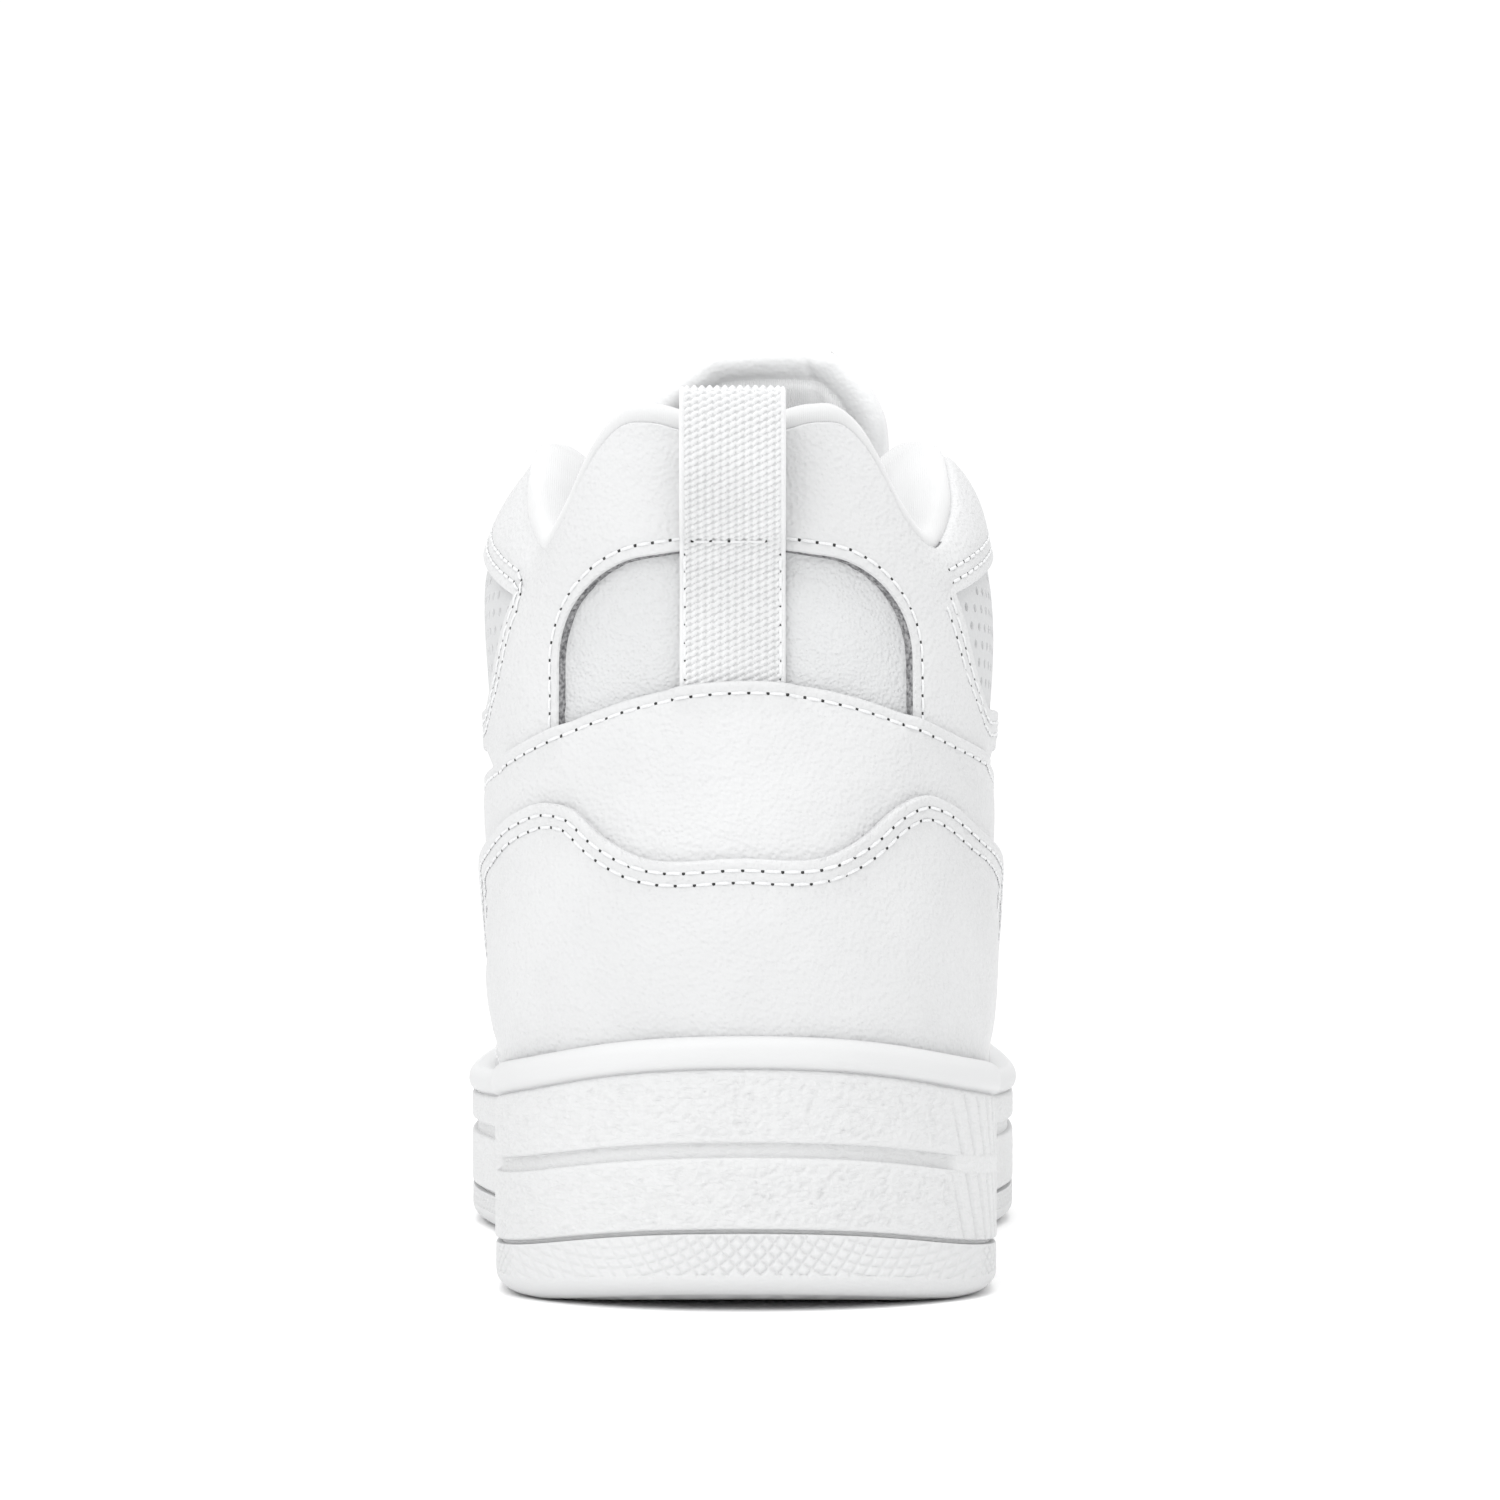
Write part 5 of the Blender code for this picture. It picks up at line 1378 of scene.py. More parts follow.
def wrinkles(points, reach):
    """Moulded leather-like wrinkles that slant gently upwards, strongest behind the heel."""
    x = points[:, 0] - HEEL_X
    along = points[:, 0] * 0.93 + points[:, 2] * 0.36
    across = points[:, 2] * 0.93 - points[:, 0] * 0.36
    warp = noise3(points, 0.4, 21.0, 2)
    slanted = np.stack([along * 0.55 + 0.4 * warp, points[:, 1] * 0.6, across * 1.05 + 0.5 * warp],
                       1)
    ridge = 0.45 - 1.6 * np.abs(noise3(slanted, 0.95, 5.0, 2))
    behind = np.exp(-((x - 4.0) / 38.0) ** 2) * smooth((-90.0 - points[:, 1]) / 25.0)
    return ridge * reach * (0.35 + 0.65 * behind)


RIB_PITCH = 3.6
RIB_BACK = -132.0
RIB_FRONT = -96.0


def ribs(points):
    """Upright ribs on the inner side of the heel, where the groove stops."""
    y = points[:, 1]
    inner = points[:, 0] > 15.0
    zone = smooth((y - RIB_BACK) / 3.0) * smooth((RIB_FRONT - y) / 3.0) * inner
    phase = (y - RIB_BACK + 0.3 * (points[:, 2] - 25.0)) / RIB_PITCH
    gap = np.abs(phase - np.round(phase)) * RIB_PITCH
    return zone, -0.5 * np.exp(-(gap / 0.38) ** 2) * zone


# rings of the cup: height over their level and distance out from the sole's outline
CUP_FOOT = ((-0.38, -3.0), (-0.38, -1.25), (0.1, -1.2), (0.25, -0.5), (0.45, -0.12))
CUP_GROOVE = ((GROOVE_LOW, 0.0, 0.25), (GROOVE_LOW, 0.1, 0.9), (GROOVE_LOW, 0.35, 1.0),
              (GROOVE_HIGH, -0.35, 1.0), (GROOVE_HIGH, -0.08, 0.95), (GROOVE_HIGH, 0.02, 0.3))
BEAD_FOOT = ((-0.08, -0.35), (0.08, -0.75), (0.34, -0.65), (0.6, -0.02), (0.95, 0.32),
             (1.5, BEAD_PROUD - 0.12), (2.2, BEAD_PROUD))
BEAD_ROUND_UP = 2.6
BEAD_ROUND_IN = 2.0
WRINKLE_ROWS = 28
WRINKLE_REACH = 0.34


def midsole():
    """Cup of the sole: two wrinkled bands, a groove between them and a smooth bead on top."""
    s = sole_columns(SOLE_COLUMNS)
    y = outline_at(s)[:, 1]
    plan = sole_ring(s, 0.0)
    zone, _ = ribs(np.c_[plan, np.zeros(len(plan))])
    groove = GROOVE_DEPTH * (1 - zone)
    rings = []

    def ring(values, lift, off, texture_size=0.0):
        flat = sole_ring(s, off)
        points = np.c_[flat, level(values, y) + lift]
        if texture_size:
            reach = WRINKLE_REACH * texture_size
            rise = wrinkles(points, reach) * (1 - zone) + ribs(points)[1]
            points[:, :2] = sole_ring(s, np.asarray(off) + rise)
        rings.append(points)

    def band(low, high, low_lift, high_lift):
        for t in np.linspace(0, 1, WRINKLE_ROWS):
            a = np.array(low) + low_lift
            b = np.array(high) + high_lift
            edge = min(t, 1 - t) * WRINKLE_ROWS / 3.0
            ring(tuple(a + (b - a) * t), 0.0, 0.0, min(1.0, edge + 0.25))

    for lift, off in CUP_FOOT:
        ring(PART_LINE, lift, off)
    band(PART_LINE, GROOVE_LOW, 0.75, -0.5)
    ring(GROOVE_LOW, -0.15, -0.1)
    for line, lift, share in CUP_GROOVE:
        ring(line, lift, -share * groove)
    ring(GROOVE_HIGH, 0.2, -0.1)
    band(GROOVE_HIGH, BAND_TOP, 0.5, -0.7)
    ring(BAND_TOP, -0.35, -0.12)
    bead_start = len(rings)
    for lift, off in BEAD_FOOT:
        ring(BAND_TOP, lift, off)
    for t in np.linspace(0.0, 1.0, 9)[1:]:
        angle = t * math.pi / 2
        ring(BEAD_TOP, BEAD_ROUND_UP * (math.sin(angle) - 1),
             BEAD_PROUD - BEAD_ROUND_IN * (1 - math.cos(angle)))
    rings.append(upper_ring(s, BEAD_TOP, 0.6, -0.7))
    rings.append(upper_ring(s, BAND_TOP, 0.6, -1.0))
    rings.append(upper_ring(s, GROOVE_HIGH, 0.6))
    inner = sole_ring(s, -8.5)
    rings.append(np.c_[inner, level(FLOOR, y) + 8.0])
    rings.append(np.c_[sole_ring(s, -10.5), level(FLOOR, y) + 4.0])
    shape = Shape()
    closed_stack(shape, rings, (FLOOR, 4.0), (PART_LINE, -0.38))
    first = (bead_start + len(LID_STEPS)) * len(s)
    shape.slots[first:] = [1] * (len(shape.slots) - first)
    obj = shape.make("midsole_rubber_cup", [MIDSOLE, BEAD], "midsole_rubber", sharp=50.0)
    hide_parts("midsole_cup")


def spine(plan):
    """The line along the middle of the sole that the inner rings close in on."""
    y = np.clip(plan[:, 1], SOLE_BACK + 46.0, SOLE_FRONT - 62.0)
    x = hermite(y, (-105.0, -40.0, 20.0, 90.0), (HEEL_X, HEEL_X, HEEL_X, HEEL_X + 2.0))
    return np.stack([x, y], 1)


def lid(ring, heights, steps):
    """Rings that close in on the spine from a ring, with a height function of the plan."""
    plan = ring[:, :2]
    middle = spine(plan)
    out = []
    for t in steps:
        flat = middle + (plan - middle) * t
        out.append(np.c_[flat, heights(flat, t)])
    return out


LID_STEPS = (0.8, 0.5, 0.2, 0.0)


def closed_stack(shape, rings, upper_end, lower_end):
    """Joins rings into a skin and closes both ends with rings that shrink to the spine."""
    def end(values, lift):
        return lambda flat, t: level(values, flat[:, 1]) + lift

    bottom = lid(rings[0], end(*lower_end), LID_STEPS)
    top = lid(rings[-1], end(*upper_end), LID_STEPS)
    join_rings(shape, list(reversed(bottom)) + rings + top)


def join_rings(shape, rings, upward=True):
    count = len(rings[0])
    points = np.vstack(rings)
    index = np.arange(len(rings) * count).reshape(len(rings), count)
    a = index[:-1]
    b = index[1:]
    quads = np.stack([a, np.roll(a, -1, 1), np.roll(b, -1, 1), b], -1).reshape(-1, 4)
    if not upward:
        quads = quads[:, ::-1]
    shape.add(points, [tuple(q) for q in quads])


def close_ends(shape, rows, count, upward=True):
    """Caps the first and the last ring of a tube that join_rings has made."""
    turn = -1 if upward else 1
    shape.faces.append(tuple(range(count))[::turn])
    shape.faces.append(tuple(range((rows - 1) * count, rows * count))[::-turn])
    shape.slots += [0, 0]


GUILLOCHE_PITCH = 2.0
GUILLOCHE_CENTRES = ((-24.0, 25.5), (26.0, 25.5))


def comb(phase, width):
    """1 wherever the phase is a whole number, falling off within the width."""
    return np.exp(-((phase - np.round(phase)) / width) ** 2)


def engraving(points):
    """Two sets of engraved arcs that cross behind the heel into a lattice of lozenges."""
    x = points[:, 0] - HEEL_X
    z = points[:, 2]
    total = 0.0
    back = smooth((-118.0 - points[:, 1]) / 8.0)
    for cx, cz in GUILLOCHE_CENTRES:
        r = np.hypot(x - cx, (z - cz) * 1.25) / GUILLOCHE_PITCH
        total = np.maximum(total, comb(r, 0.16))
    y = points[:, 1]
    side_cut = 0.0
    for sign in (1.0, -1.0):
        side_cut = np.maximum(side_cut, comb((y + sign * z * 1.6) / 3.4, 0.12))
    total = back * total + (1 - back) * side_cut
    x_fade = 0.45 + 0.55 * np.exp(-((x - 2.0) / 20.0) ** 2)
    fade = smooth((z - level(GROUND, y) - 1.4) / 1.6)
    fade = fade * smooth((level(PART_LINE, y) - 0.3 - z) / 0.8)
    return -0.42 * total * fade * np.where(back > 0.5, x_fade, 0.7)


# rings over the outsole's rim: distance out and height over the part line
OUTSOLE_SHOULDER = ((-0.22, -0.5), (-0.7, -0.42), (-3.0, -0.4))


def outsole():
    """Rubber outsole: engraved rim and a herringbone tread."""
    s = sole_columns(1300)
    y = outline_at(s)[:, 1]
    rings = []
    low = level(GROUND, y)
    for t in np.linspace(0.0, 1.0, 9):
        angle = t * math.pi / 2
        off = -4.2 * (1 - math.sin(angle)) - 0.1
        rings.append(np.c_[sole_ring(s, off), low + 3.4 * (1 - math.cos(angle))])
    for t in np.linspace(0.0, 1.0, 30)[1:]:
        z = (low + 3.4) * (1 - t) + (level(PART_LINE, y) - 0.75) * t
        flat = sole_ring(s, -0.1)
        cut = engraving(np.c_[flat, z])
        rings.append(np.c_[sole_ring(s, -0.1 + cut), z])
    for off, lift in OUTSOLE_SHOULDER:
        rings.append(np.c_[sole_ring(s, off), level(PART_LINE, y) + lift])
    rings.append(np.c_[sole_ring(s, -8.0), level(FLOOR, y)])
    shape = Shape()
    top = lid(rings[-1], lambda flat, t: level(FLOOR, flat[:, 1]), LID_STEPS)
    join_rings(shape, rings + top)
    tread(shape, rings[0])
    obj = shape.make("outsole_rubber", [OUTSOLE], "outsole_rubber", sharp=50.0)
    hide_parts("outsole")


TREAD_PITCH = 5.4
TREAD_WAVE = 15.0
TREAD_SWING = 4.0
TREAD_CUT = 1.5
TREAD_ROWS = ((0.0, 0.0), (0.12, 1.0), (1.25, 1.0), (1.37, 0.0))


def tread(shape, ring):
    """Underside between the rims: zigzag grooves cut into the contact face."""
    loop = ring[:, :2]
    rim = np.c_[np.vstack([loop, loop[:1]]), np.zeros(len(loop) + 1)]
    verts = []
    cuts = []
    for row in np.arange(-150.0, 150.0, TREAD_PITCH):
        for shift, cut in TREAD_ROWS:
            x = np.arange(-60.0, 60.0, 1.25)
            zigzag = np.abs((x / TREAD_WAVE) % 1.0 - 0.5) * 4 - 1
            verts.append(np.stack([x, row + shift + TREAD_SWING * zigzag], 1))
            cuts.append(np.full(len(x), cut))
    verts = np.vstack(verts)
    cuts = np.concatenate(cuts)
    good = within(verts, loop)
    verts = verts[good]
    cuts = cuts[good]
    gap = away(np.c_[verts, np.zeros(len(verts))], rim)
    keep = gap > 0.9
    verts = verts[keep]
    cuts = cuts[keep] * smooth((gap[keep] - 2.5) / 0.4)
    count = len(loop)
    edges = [(i, (i + 1) % count) for i in range(count)]
    flat, faces, origin = triangles(np.vstack([loop, verts]), edges, 1e-7)
    faces = faces[within(flat[faces].mean(1), loop)]
    depth = np.zeros(len(flat))
    place = {}
    for n, source in enumerate(origin):
        if source and source[0] >= count:
            depth[n] = cuts[source[0] - count]
        elif source:
            place[n] = int(source[0])
    height = level(GROUND, flat[:, 1]) + depth * TREAD_CUT
    first = shape.count
    extra = [n for n in range(len(flat)) if n not in place]
    index = {n: first + i for i, n in enumerate(extra)}
    index.update(place)
    shape.points.append(np.c_[flat[extra], height[extra]])
    shape.count += len(extra)
    for face in faces:
        shape.faces.append(tuple(index[int(i)] for i in reversed(face)))
        shape.slots.append(0)


SOCK_EDGE = ((-14.6, 2.2), (-14.1, 2.6), (-14.0, 5.0), (-14.5, 5.9), (-15.5, 6.2))


def sockliner():
    """Removable insole with a fabric face, dished under the heel."""
    s = sole_columns(260)
    y = outline_at(s)[:, 1]
    low = level(FOOTBED, y)
    rings = [np.c_[sole_ring(s, off), low + lift] for off, lift in SOCK_EDGE]

    def face(flat, t):
        dish = 1.6 * (1 - t * t) * (1 - smooth((flat[:, 1] + 60.0) / 40.0))
        return level(FOOTBED, flat[:, 1]) + 6.2 - 0.6 * (1 - t) - dish

    top = lid(rings[-1], face, (0.93, 0.84, 0.74, 0.62, 0.5, 0.36, 0.2, 0.0))
    bottom = lid(rings[0], lambda flat, t: level(FOOTBED, flat[:, 1]) + 2.2, LID_STEPS)
    shape = Shape()
    join_rings(shape, list(reversed(bottom)) + rings + top)
    obj = shape.make("sockliner_pad", [SOCK], "sockliner_fabric")
    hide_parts("sockliner")


# ------------------------------------------------------------------ pull strap
STRAP_SEAM_Z = 124.0
WEB_THICK = 1.5
# middle line of the loop in side view, from the seam up the outer ply and down the inner ply
STRAP_LOOP = ((-140.2, 126.6), (-141.8, 129.6), (-144.1, 135.0), (-145.1, 142.0),
              (-144.5, 146.8), (-143.0, 149.3), (-140.7, 149.6), (-138.9, 147.6),
              (-137.9, 143.0), (-137.9, 136.0), (-138.0, 129.0), (-137.8, 125.4))
STRAP_BASE = ((97.5, 0.1), (100.0, 0.5), (103.0, 0.85), (110.0, 0.85), (118.0, 0.85),
              (120.6, 1.3), (122.4, 2.2), (124.0, 3.0))
WEB_COLUMN = 1.25        # pitch of the yarns across the webbing
WEB_ROW = 1.1
SELVAGE = 0.85


def strap_path():
    """Middle line of the whole strap: (y, z) from under the band to the inner end."""
    base = []
    for z, off in STRAP_BASE:
        s, v = rear(WEB_X, z)
        p = lifted(np.array(s), np.array(v), off)
        base.append((p[1], p[2]))
    pts = np.array(base + list(STRAP_LOOP))
    size = lengths(pts)
    t = np.arange(0.0, size[-1], 0.21)
    return np.stack([hermite(t, size, pts[:, 0]), hermite(t, size, pts[:, 1])], 1), t


def weave(u, w):
    """Relief of the webbing: upright columns of slanted nubs, and plain selvages."""
    column = w / WEB_COLUMN
    number = np.round(column)
    across = np.cos(2 * math.pi * column) * 0.5 + 0.5
    phase = u / WEB_ROW + 0.5 * (number % 2) - 0.55 * (column - number)
    along = np.cos(2 * math.pi * phase) * 0.5 + 0.5
    body = 0.7 * np.sqrt(0.06 + 0.94 * across) * np.sqrt(0.08 + 0.92 * along) - 0.42
    fine = 0.08 * np.cos(2 * math.pi * (u / 0.85 + w / 1.1))
    edge = WEB_HALF - np.abs(w)
    selvage = smooth((SELVAGE + 0.15 - edge) / 0.2)
    relief = body * (1 - selvage) + (fine + 0.02) * selvage
    relief -= 0.2 * np.exp(-((edge - SELVAGE) / 0.18) ** 2)
    return relief * smooth(edge / 0.3)


def strap():
    """One webbing from under the heel band up over the loop, sewn across at its foot."""
    path, u = strap_path()
    step = unit(np.gradient(path, axis=0))
    out = np.stack([-step[:, 1], step[:, 0]], 1)
    width = np.linspace(-WEB_HALF, WEB_HALF, 85)
    uu, ww = np.meshgrid(u, width, indexing="ij")
    half = 0.5 * WEB_THICK - 0.08
    edge = WEB_HALF - np.abs(ww)
    round_off = np.sqrt(np.clip(1 - (1 - np.clip(edge / 0.55, 0, 1)) ** 2, 0.02, 1))
    seam_at = np.interp(STRAP_SEAM_Z + 1.4, path[:len(path) // 2, 1], u[:len(path) // 2])
    pinch = 0.28 * np.exp(-((uu - seam_at) / 1.2) ** 2)
    plump = (half + weave(uu, ww)) * round_off
    sag = 0.25 * np.sin(uu * 0.11) * (ww / WEB_HALF) ** 2 * smooth((uu - seam_at) / 6.0)
    x = HEEL_X + WEB_X + ww
    base = 1 - smooth((uu - seam_at) / 4.0)
    bow = base * bow_at(ww)
    sheets = []
    for sign in (1, -1):
        rise = sign * plump - pinch * (sign > 0) + sag
        yy = path[:, 0][:, None] + out[:, 0][:, None] * rise + bow
        zz = path[:, 1][:, None] + out[:, 1][:, None] * rise
        sheets.append(np.stack([x, yy, zz], -1))
    rows, cols = uu.shape
    front, back = sheets
    points = np.vstack([front.reshape(-1, 3), back.reshape(-1, 3)])
    index = np.arange(rows * cols).reshape(rows, cols)
    faces = []
    a = index[:-1, :-1].ravel()
    b = index[1:, :-1].ravel()
    c = index[1:, 1:].ravel()
    d = index[:-1, 1:].ravel()
    faces += [tuple(q) for q in np.stack([a, d, c, b], 1)]
    n = rows * cols
    faces += [tuple(q) for q in np.stack([a + n, b + n, c + n, d + n], 1)]
    border = list(index[0]) + list(index[1:, -1]) + list(index[-1, -2::-1]) + \
        list(index[-2:0:-1, 0])
    for p, q in zip(border, border[1:] + border[:1]):
        faces.append((q, p, p + n, q + n))
    # faces sunk deep between the yarns take the darker webbing material: painted shade in the gaps
    sunk = weave(uu, ww) < -0.16
    painted_shade_faces = (sunk[:-1, :-1] & sunk[1:, 1:]).ravel()
    slots = np.concatenate([painted_shade_faces, painted_shade_faces, np.zeros(len(border), bool)]) * 4
    shape = Shape()
    shape.add(points, faces, slots)
    strap_stitches(shape, path, u, out, seam_at)
    obj = shape.make("pull_strap_webbing", [WEB, RAW, THREAD, HOLE_SHADE, WEB_PAINTED_SHADE], "webbing", 60.0, None)
    x = (HEEL_X + WEB_X) * MM
    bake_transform(obj)
    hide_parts("pull_strap_base", "pull_loop")


def bow_at(w):
    """How far the sewn strap bends round the heel at a distance from its middle."""
    return (1.0 - np.sqrt(1 - (w / 60.0) ** 2)) * 60.0


def strap_stitches(shape, path, u, out, seam_at):
    """A row across the foot of the loop and one up each side of the sewn part."""
    def place(at, w, lift):
        y = np.interp(at, u, path[:, 0]) + np.interp(at, u, out[:, 0]) * lift
        z = np.interp(at, u, path[:, 1]) + np.interp(at, u, out[:, 1]) * lift
        return (HEEL_X + WEB_X + w, y + bow_at(w), z)

    def outward(at):
        return (0.0, np.interp(at, u, out[:, 0]), np.interp(at, u, out[:, 1]))

    row = [place(seam_at, w, 0.32) for w in np.arange(-6.6, 6.7, 3.0)]
    straight_thread(shape, row, [outward(seam_at)] * len(row))
    for side in (-1, 1):
        ats = np.arange(5.0, seam_at - 0.6, SEAM_PITCH)
        row = [place(at, side * (WEB_HALF - SELVAGE), 0.5) for at in ats]
        straight_thread(shape, row, [outward(at) for at in ats], radius=0.2)


# ------------------------------------------------------------------ padding, lining and tongue
FOAM_THICK = 11.0


def pad_taper(s):
    return 1.0 - 0.78 * smooth((np.abs(s) - 0.27) / 0.11)


def pad_depth(s, z):
    return FOAM_THICK * smooth((z - 66.0) / 42.0) * pad_taper(s)


# height over the leather's edge, depth, share of the padding, and share of the lobes' roll
ROLL_OVER = ((-0.7, 0.9, 0.0, 1.0), (0.5, 1.2, 0.0, 1.0), (1.7, 1.0, 0.0, 1.0),
             (2.6, 0.1, 0.0, 0.95), (3.0, -1.7, 0.0, 0.85), (2.5, -3.6, 0.3, 0.5),
             (0.9, -4.2, 0.72, 0.2), (-3.2, -4.5, 0.97, 0.0), (-11.0, -4.6, 1.0, 0.0))
ROLL_UNDER = ((-10.8, -3.4, 1.0, 0.0), (-3.4, -3.2, 0.95, 0.0), (0.0, -3.0, 0.7, 0.2),
              (1.0, -3.0, 0.3, 0.5), (1.5, -2.2, 0.0, 0.85), (0.9, -0.7, 0.0, 1.0),
              (-0.7, 0.2, 0.0, 1.0))
LINING_HEIGHTS = (98.0, 78.0, 60.0, 33.0)


def collar_lining():
    """Knit lining rolled over the padded collar and down inside the shoe."""
    line = run(both(topline), 1.5)[6:-6]
    s = line[:, 0]
    top = skin(s, line[:, 1])[:, 2]
    arc = lengths(skin(s, line[:, 1]))
    plan = lengths(skin(s, line[:, 1])[:, :2])
    steep = np.abs(np.gradient(top, np.maximum(plan, np.arange(len(plan)) * 1e-6)))
    lean = np.minimum(np.sqrt(1 + steep ** 2), 1.8)
    lean = np.convolve(np.pad(lean, 3, mode="edge"), np.ones(7) / 7, "valid")
    deep = FOAM_THICK * pad_taper(s)
    roll = lobe(skin(s, line[:, 1])) * 0.86
    ends = smooth((arc + 2.0) / 12.0) * smooth((arc[-1] - arc + 2.0) / 12.0)

    def rolled(profile):
        out = []
        for dz, off, share, turned in profile:
            rise = dz * (lean if dz > -4.0 else 1.0)
            out.append((top + rise * (0.35 + 0.65 * ends), off - share * deep - turned * roll))
        return out

    over = rolled(ROLL_OVER)
    over += [(np.full(len(s), z), -4.6 - pad_depth(s, z)) for z in LINING_HEIGHTS]
    under = [(np.full(len(s), z), -3.4 - pad_depth(s, z)) for z in reversed(LINING_HEIGHTS)]
    under += rolled(ROLL_UNDER)
    profile = np.array([np.stack(pair, -1) for pair in over + under])
    size = lengths(profile[:, len(s) // 2])
    fine = np.concatenate([np.arange(0.0, 30.0, 0.7), np.arange(30.0, size[len(over) - 1], 2.5),
                           np.arange(size[len(over) - 1], size[-1], 3.0), [size[-1]]])
    rings = []
    for t in fine:
        i = int(np.clip(np.searchsorted(size, t, side="right") - 1, 0, len(size) - 2))
        f = (t - size[i]) / (size[i + 1] - size[i])
        a = profile[max(i - 1, 0)]
        b = profile[i]
        c = profile[i + 1]
        d = profile[min(i + 2, len(size) - 1)]
        mix = b + 0.5 * f * (c - a + f * (2 * a - 5 * b + 4 * c - d + f * (3 * (b - c) + d - a)))
        z = mix[:, 0]
        rings.append(lifted(s, v_at(s, z), mix[:, 1]))
    columns = np.array(rings).transpose(1, 0, 2)
    shape = Shape()
    join_rings(shape, list(columns), upward=False)
    rows, count = columns.shape[:2]
    close_ends(shape, rows, count, upward=False)
    # two more faces close the space for the foam at both ends
    inside = int((fine <= size[len(over)]).sum())
    last = (rows - 1) * count
    shape.faces.append(tuple(reversed(range(inside, count))))
    shape.faces.append(tuple(range(last + inside, last + count)))
    shape.slots += [0, 0]
    obj = shape.make("collar_knit_lining", [LINING], "lining_fabric", sharp=60.0)
    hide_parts("collar_lining", "collar_foam")


def vamp_lining():
    """Lining of the toe and of both eyestays, split by the throat."""
    line = old_run(both(topline), 12.0)
    end = abs(line[-2][0]) + 0.007
    right = [wrap(p) for p in throat(1, out=1.2)]
    left = [wrap(p) for p in throat(-1, out=1.2)]
    front = [right[0], wrap(above(THROAT_HALF * 0.4, 50.0)),
             wrap(above(-THROAT_HALF * 0.4, 50.0)), left[0]]
    low = FEATHER_V + 0.08
    high = right[-1][1] + 0.02
    outline = chain(feather(end, 1 - end, low), run([(1 - end, low), (1 - end, high)], 3.0),
                    run([(1 - end, high), left[-1]], 3.0), run(list(reversed(left)), 2.0),
                    run(list(reversed(front)), 2.0), run(right, 2.0),
                    run([right[-1], (end, high)], 3.0), run([(end, high), (end, low)], 3.0))
    holes = [circle(wrap(eyelet_place(side, n)), EYELET_R + 1.2, 12)
             for side in (1, -1) for n in range(EYELETS)]

    def base(s, v, points):
        t = np.clip((points[:, 1] - 60.0) / 14.0, 0.0, 1.0)
        return -2.9 - 1.9 * t

    piece = Panel(outline, base, 1.1, holes, puff=0.0, crease=0.15, insets=(0.5,))
    shape = Shape()
    sheet(shape, piece, 4.0, edge_slot=0)
    obj = shape.make("vamp_knit_lining", [LINING], "lining_fabric")
    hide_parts("vamp_lining")


TONGUE_HALF = ((64.0, 19.0), (42.0, 23.0), (20.0, 25.0), (0.0, 24.0), (-12.0, 22.0))
# the free top of the tongue: middle line, half width and bend of its cross sections
TONGUE_TOP = ((2.7, -26.4, 134.5, 22.5, 24.0), (2.7, -31.4, 143.0, 27.0, 29.5),
              (3.2, -36.4, 152.0, 28.2, 33.5), (3.6, -39.4, 157.4, 25.6, 36.0),
              (4.4, -41.3, 161.8, 20.0, 38.0), (5.4, -42.6, 165.0, 12.0, 40.0))
TONGUE_DEPTH = -9.1
TONGUE_OUT = np.array((0.0, 0.854, 0.52))
TONGUE_COLUMNS = 61
TONGUE_EDGE = 3.0
TONGUE_RIM = 5.2         # width of the leather roll round the knit back
TONGUE_CHANNEL = 7.5     # a sewn channel runs this far inside the edge on the front


def tongue_middle():
    """Middle surface of the tongue: rows from the toe end up to the crown."""
    u = np.linspace(-1, 1, TONGUE_COLUMNS)
    stations = []
    for y, half in TONGUE_HALF:
        places = [wrap(above(x, y)) for x in u * half]
        s, v = np.array(places).T
        stations.append(lifted(s, v, TONGUE_DEPTH))
    for aside, y, z, half, bend in TONGUE_TOP:
        angle = u * half / bend
        centre = np.array((aside, y, z)) - TONGUE_OUT * 4.0
        x = (bend - 4.0) * np.sin(angle)
        back = (bend - 4.0) * (1 - np.cos(angle))
        stations.append(centre - TONGUE_OUT * back[:, None] + np.c_[x, 0 * x, 0 * x])
    stations = np.array(stations)
    middle = stations[:, TONGUE_COLUMNS // 2]
    size = lengths(middle)
    t = np.linspace(0, size[-1], 170)
    rows = [hermite(t, size, stations[:, k, a]) for k in range(TONGUE_COLUMNS) for a in range(3)]
    return np.array(rows).reshape(TONGUE_COLUMNS, 3, len(t)).transpose(2, 0, 1)


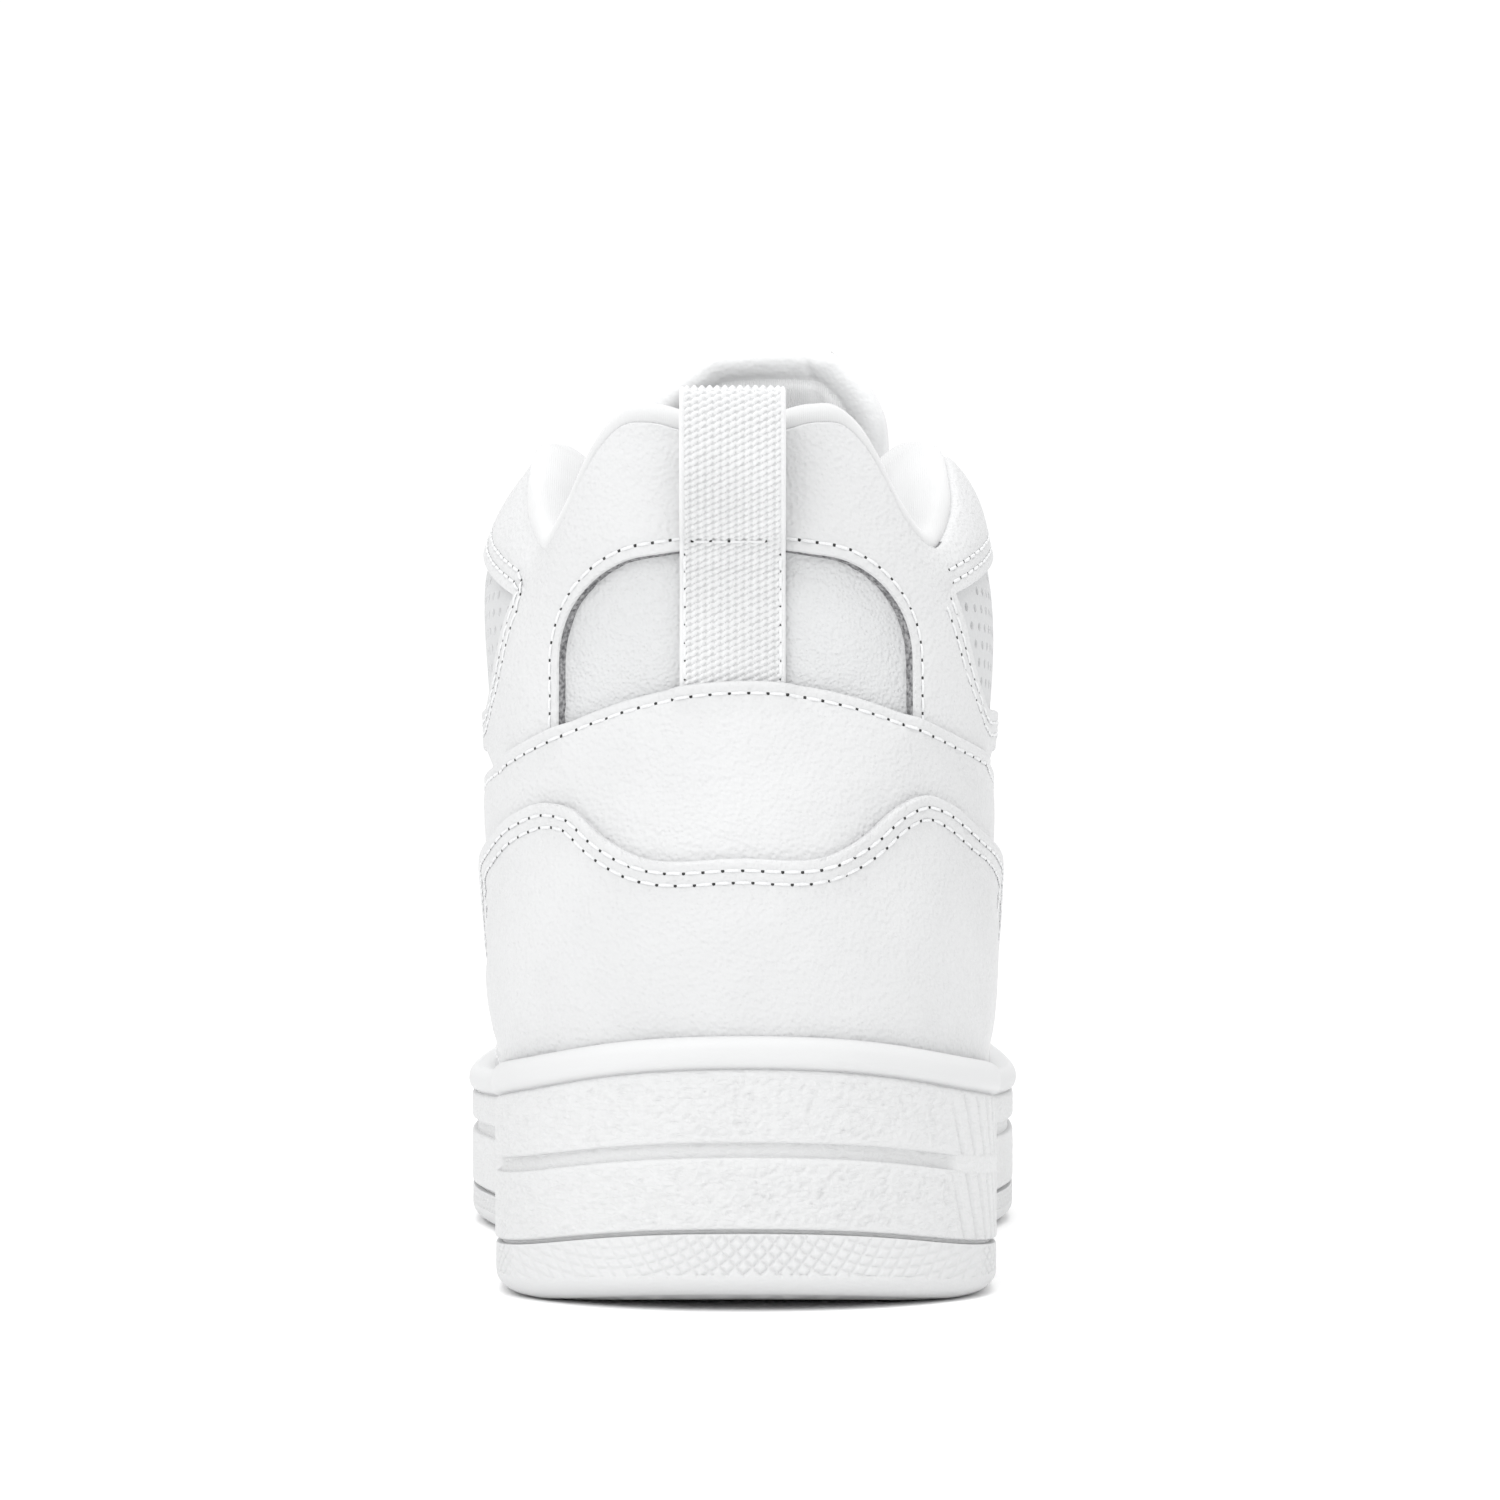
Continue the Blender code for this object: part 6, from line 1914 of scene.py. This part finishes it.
def tongue():
    """Padded tongue with a rolled leather rim and a knit back."""
    middle = tongue_middle()
    rows, cols = middle.shape[:2]
    du = np.gradient(middle, axis=1)
    dw = np.gradient(middle, axis=0)
    n = unit(np.cross(dw, du))
    if n[rows // 2, cols // 2] @ TONGUE_OUT < 0:
        n = -n
    border = np.vstack([middle[0], middle[1:, -1], middle[-1, -2::-1], middle[-2::-1, 0]])
    d = away(middle.reshape(-1, 3), border).reshape(rows, cols)
    full = 3.4 - 0.4 * smooth((middle[..., 2] - 135.0) / 20.0)
    bulge = np.sqrt(np.clip(1 - (1 - np.clip(d / TONGUE_EDGE, 0, 1)) ** 2, 0, 1))
    flat = middle.reshape(-1, 3)
    soft = noise3(flat, 0.055, 2.0).reshape(rows, cols) * 0.7
    seam_cut = 0.5 * np.exp(-((d - TONGUE_RIM) / 0.6) ** 2)
    x = middle[..., 0] - HEEL_X
    z = middle[..., 2]
    fold_x = 11.7 + (159.2 - z) * 0.42
    fold = 0.4 * np.exp(-((x - fold_x) / 0.8) ** 2) * smooth((z - 146.0) / 6.0)
    channel = 0.8 * np.exp(-((d - TONGUE_CHANNEL) / 0.8) ** 2) * smooth((z - 122.0) / 8.0)
    front = middle + n * ((full * bulge + soft * bulge - channel)[..., None])
    crown = full * bulge - (seam_cut + fold) * smooth((z - 100.0) / 20.0) + soft * bulge
    back = middle - n * crown[..., None]
    index = np.arange(rows * cols).reshape(rows, cols)
    edge = np.zeros((rows, cols), bool)
    edge[0] = edge[-1] = edge[:, 0] = edge[:, -1] = True
    other = index + rows * cols
    other[edge] = index[edge]
    faces = []
    slots = []
    for grid, turned in ((index, False), (other, True)):
        for j in range(rows - 1):
            for i in range(cols - 1):
                quad = (grid[j, i], grid[j, i + 1], grid[j + 1, i + 1], grid[j + 1, i])
                faces.append(tuple(reversed(quad)) if turned else quad)
                deep = d[j:j + 2, i:i + 2].mean() > TONGUE_RIM
                # back faces inside the rim take the brighter tongue knit: painted light on the shaded
                # back of the tongue
                slots.append(1 if turned and deep else 0)
    points = np.vstack([front.reshape(-1, 3), back.reshape(-1, 3)])
    shape = Shape()
    shape.add(*compact(points, faces), slots)
    obj = shape.make("tongue_pad", [LEATHER_TONGUE, TONGUE_KNIT_LIT], "leather", 60.0, None)
    fix_normals(obj)
    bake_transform(obj)
    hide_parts("tongue_shell", "tongue_foam", "tongue_lining", "tongue_top_shell",
                "tongue_top_foam", "tongue_top_lining")


def fix_normals(obj):
    bm = bmesh.new()
    bm.from_mesh(obj.data)
    bmesh.ops.recalc_face_normals(bm, faces=bm.faces)
    if bm.calc_volume(signed=True) < 0:
        bmesh.ops.reverse_faces(bm, faces=bm.faces)
    bm.to_mesh(obj.data)
    bm.free()


# ------------------------------------------------------------------ lace
LACE_HALF = 3.4
LACE_THICK = 0.55
LACE_OVER = 3.1
LACE_UNDER = -4.6
LACE_DRAPE = ((0.0, LACE_OVER), (9.4, LACE_OVER), (11.6, 0.8), (14.0, -2.4))
LACE_MIDDLE = -3.9
LACE_SIDES = 16


def lace_bar(n, side):
    a = wrap(eyelet_place(side, n))
    b = wrap(eyelet_place(-side, n))
    span = np.linalg.norm(skin(*a) - skin(*b))
    near = [(d / span, off) for d, off in LACE_DRAPE if d < 0.44 * span]
    rows = near + [(0.5, LACE_MIDDLE)] + [(1.0 - t, off) for t, off in reversed(near)]
    stops = []
    for t, off in rows:
        point = (a[0] + (b[0] - a[0]) * t, a[1] + (b[1] - a[1]) * t)
        stops.append((point, off, 1.7 if t in (0.0, 1.0) else LACE_HALF))
    return stops


def lace_frame(point):
    ds, dv, out = slopes(np.array(point[0]), np.array(point[1]))
    up = dv - np.dot(dv, out) * out
    up /= np.linalg.norm(up)
    across = np.cross(up, out)
    across = across if across[0] > 0 else -across
    return skin(*point), up, across, out


def lace_stops():
    """Middle, width and thickness vectors of the lace, across, down, up and back."""
    path = []
    side = -1
    for n in range(EYELETS):
        turn = 1.0 if side < 0 else -1.0
        bar = lace_bar(n, side)
        here, up, across, out = lace_frame(bar[0][0])
        if n == 0:
            path.append((here + out * LACE_UNDER, out * (-turn * 0.5), across * (-turn * 1.5)))
        path.append((here - out, up * turn * 1.4, across * (-turn * 1.2)))
        for point, off, wide in bar:
            at, up, _, out = lace_frame(point)
            path.append((at + out * off, up * turn * wide, out * LACE_THICK))
        here, up, across, out = lace_frame(bar[-1][0])
        path.append((here - out, up * turn * 1.4, across * (turn * 1.2)))
        path.append((here + out * LACE_UNDER, up * turn + out * turn * 0.3,
                     across * (turn * 1.4)))
        if n < EYELETS - 1:
            nxt = wrap(eyelet_place(-side, n + 1))
            for f in (0.3, 0.7):
                mid = (bar[-1][0][0] * (1 - f) + nxt[0] * f, bar[-1][0][1] * (1 - f) + nxt[1] * f)
                at, up, across, out = lace_frame(mid)
                path.append((at + out * LACE_UNDER, out * (turn * 0.45), across * (turn * 2.2)))
        side = -side
    return np.array(path)


def lace():
    """One flat woven lace in straight bars, its ends tucked inside."""
    stops = lace_stops()
    size = lengths(stops[:, 0])
    t = np.arange(0.0, size[-1], 0.8)
    fine = np.array([hermite(t, size, stops[:, a, b]) for a in range(3) for b in range(3)])
    middle, wide, thin = fine.reshape(3, 3, -1).transpose(0, 2, 1)
    rings = []
    for angle in np.arange(LACE_SIDES) * 2 * math.pi / LACE_SIDES:
        c = math.cos(angle)
        d = math.sin(angle)
        a = math.copysign(abs(c) ** 0.7, c)
        b = math.copysign(abs(d) ** 0.6, d)
        rib = 1.0 + 0.1 * np.cos(2 * math.pi * (t / 1.6 + (0.5 if abs(c) < 0.5 else 0.0)))
        rings.append(middle + wide * a + thin * b * rib[:, None])
    sections = np.array(rings).transpose(1, 0, 2)
    shape = Shape()
    join_rings(shape, list(sections))
    close_ends(shape, len(sections), LACE_SIDES)
    obj = shape.make("lace_ribbon", [LACE_YARN], "lace_fabric", 60.0)
    fix_normals(obj)
    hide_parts("lace")


# ------------------------------------------------------------------ everything together
HIDDEN_LOOKS = {"midsole_foam": FOAM, "insole_board": BOARD, "toe_puff": BOARD,
                "counter_stiffener": BOARD}


def inner_pieces():
    """The sealed pieces keep their CAD shape and take a finished material."""
    for name, look in HIDDEN_LOOKS.items():
        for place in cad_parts[name].material_slots:
            place.link = "OBJECT"
            place.material = look


camera()
lighting()
floor()
for make in (outsole, midsole, sockliner, vamp, heel_panel, collar_overlay, heel_band,
             heel_counter, toe_overlay, collar_lining, vamp_lining, tongue, lace, strap,
             inner_pieces):
    make()
for side in (-1, 1):
    quarter(side)
    eyestay(side)
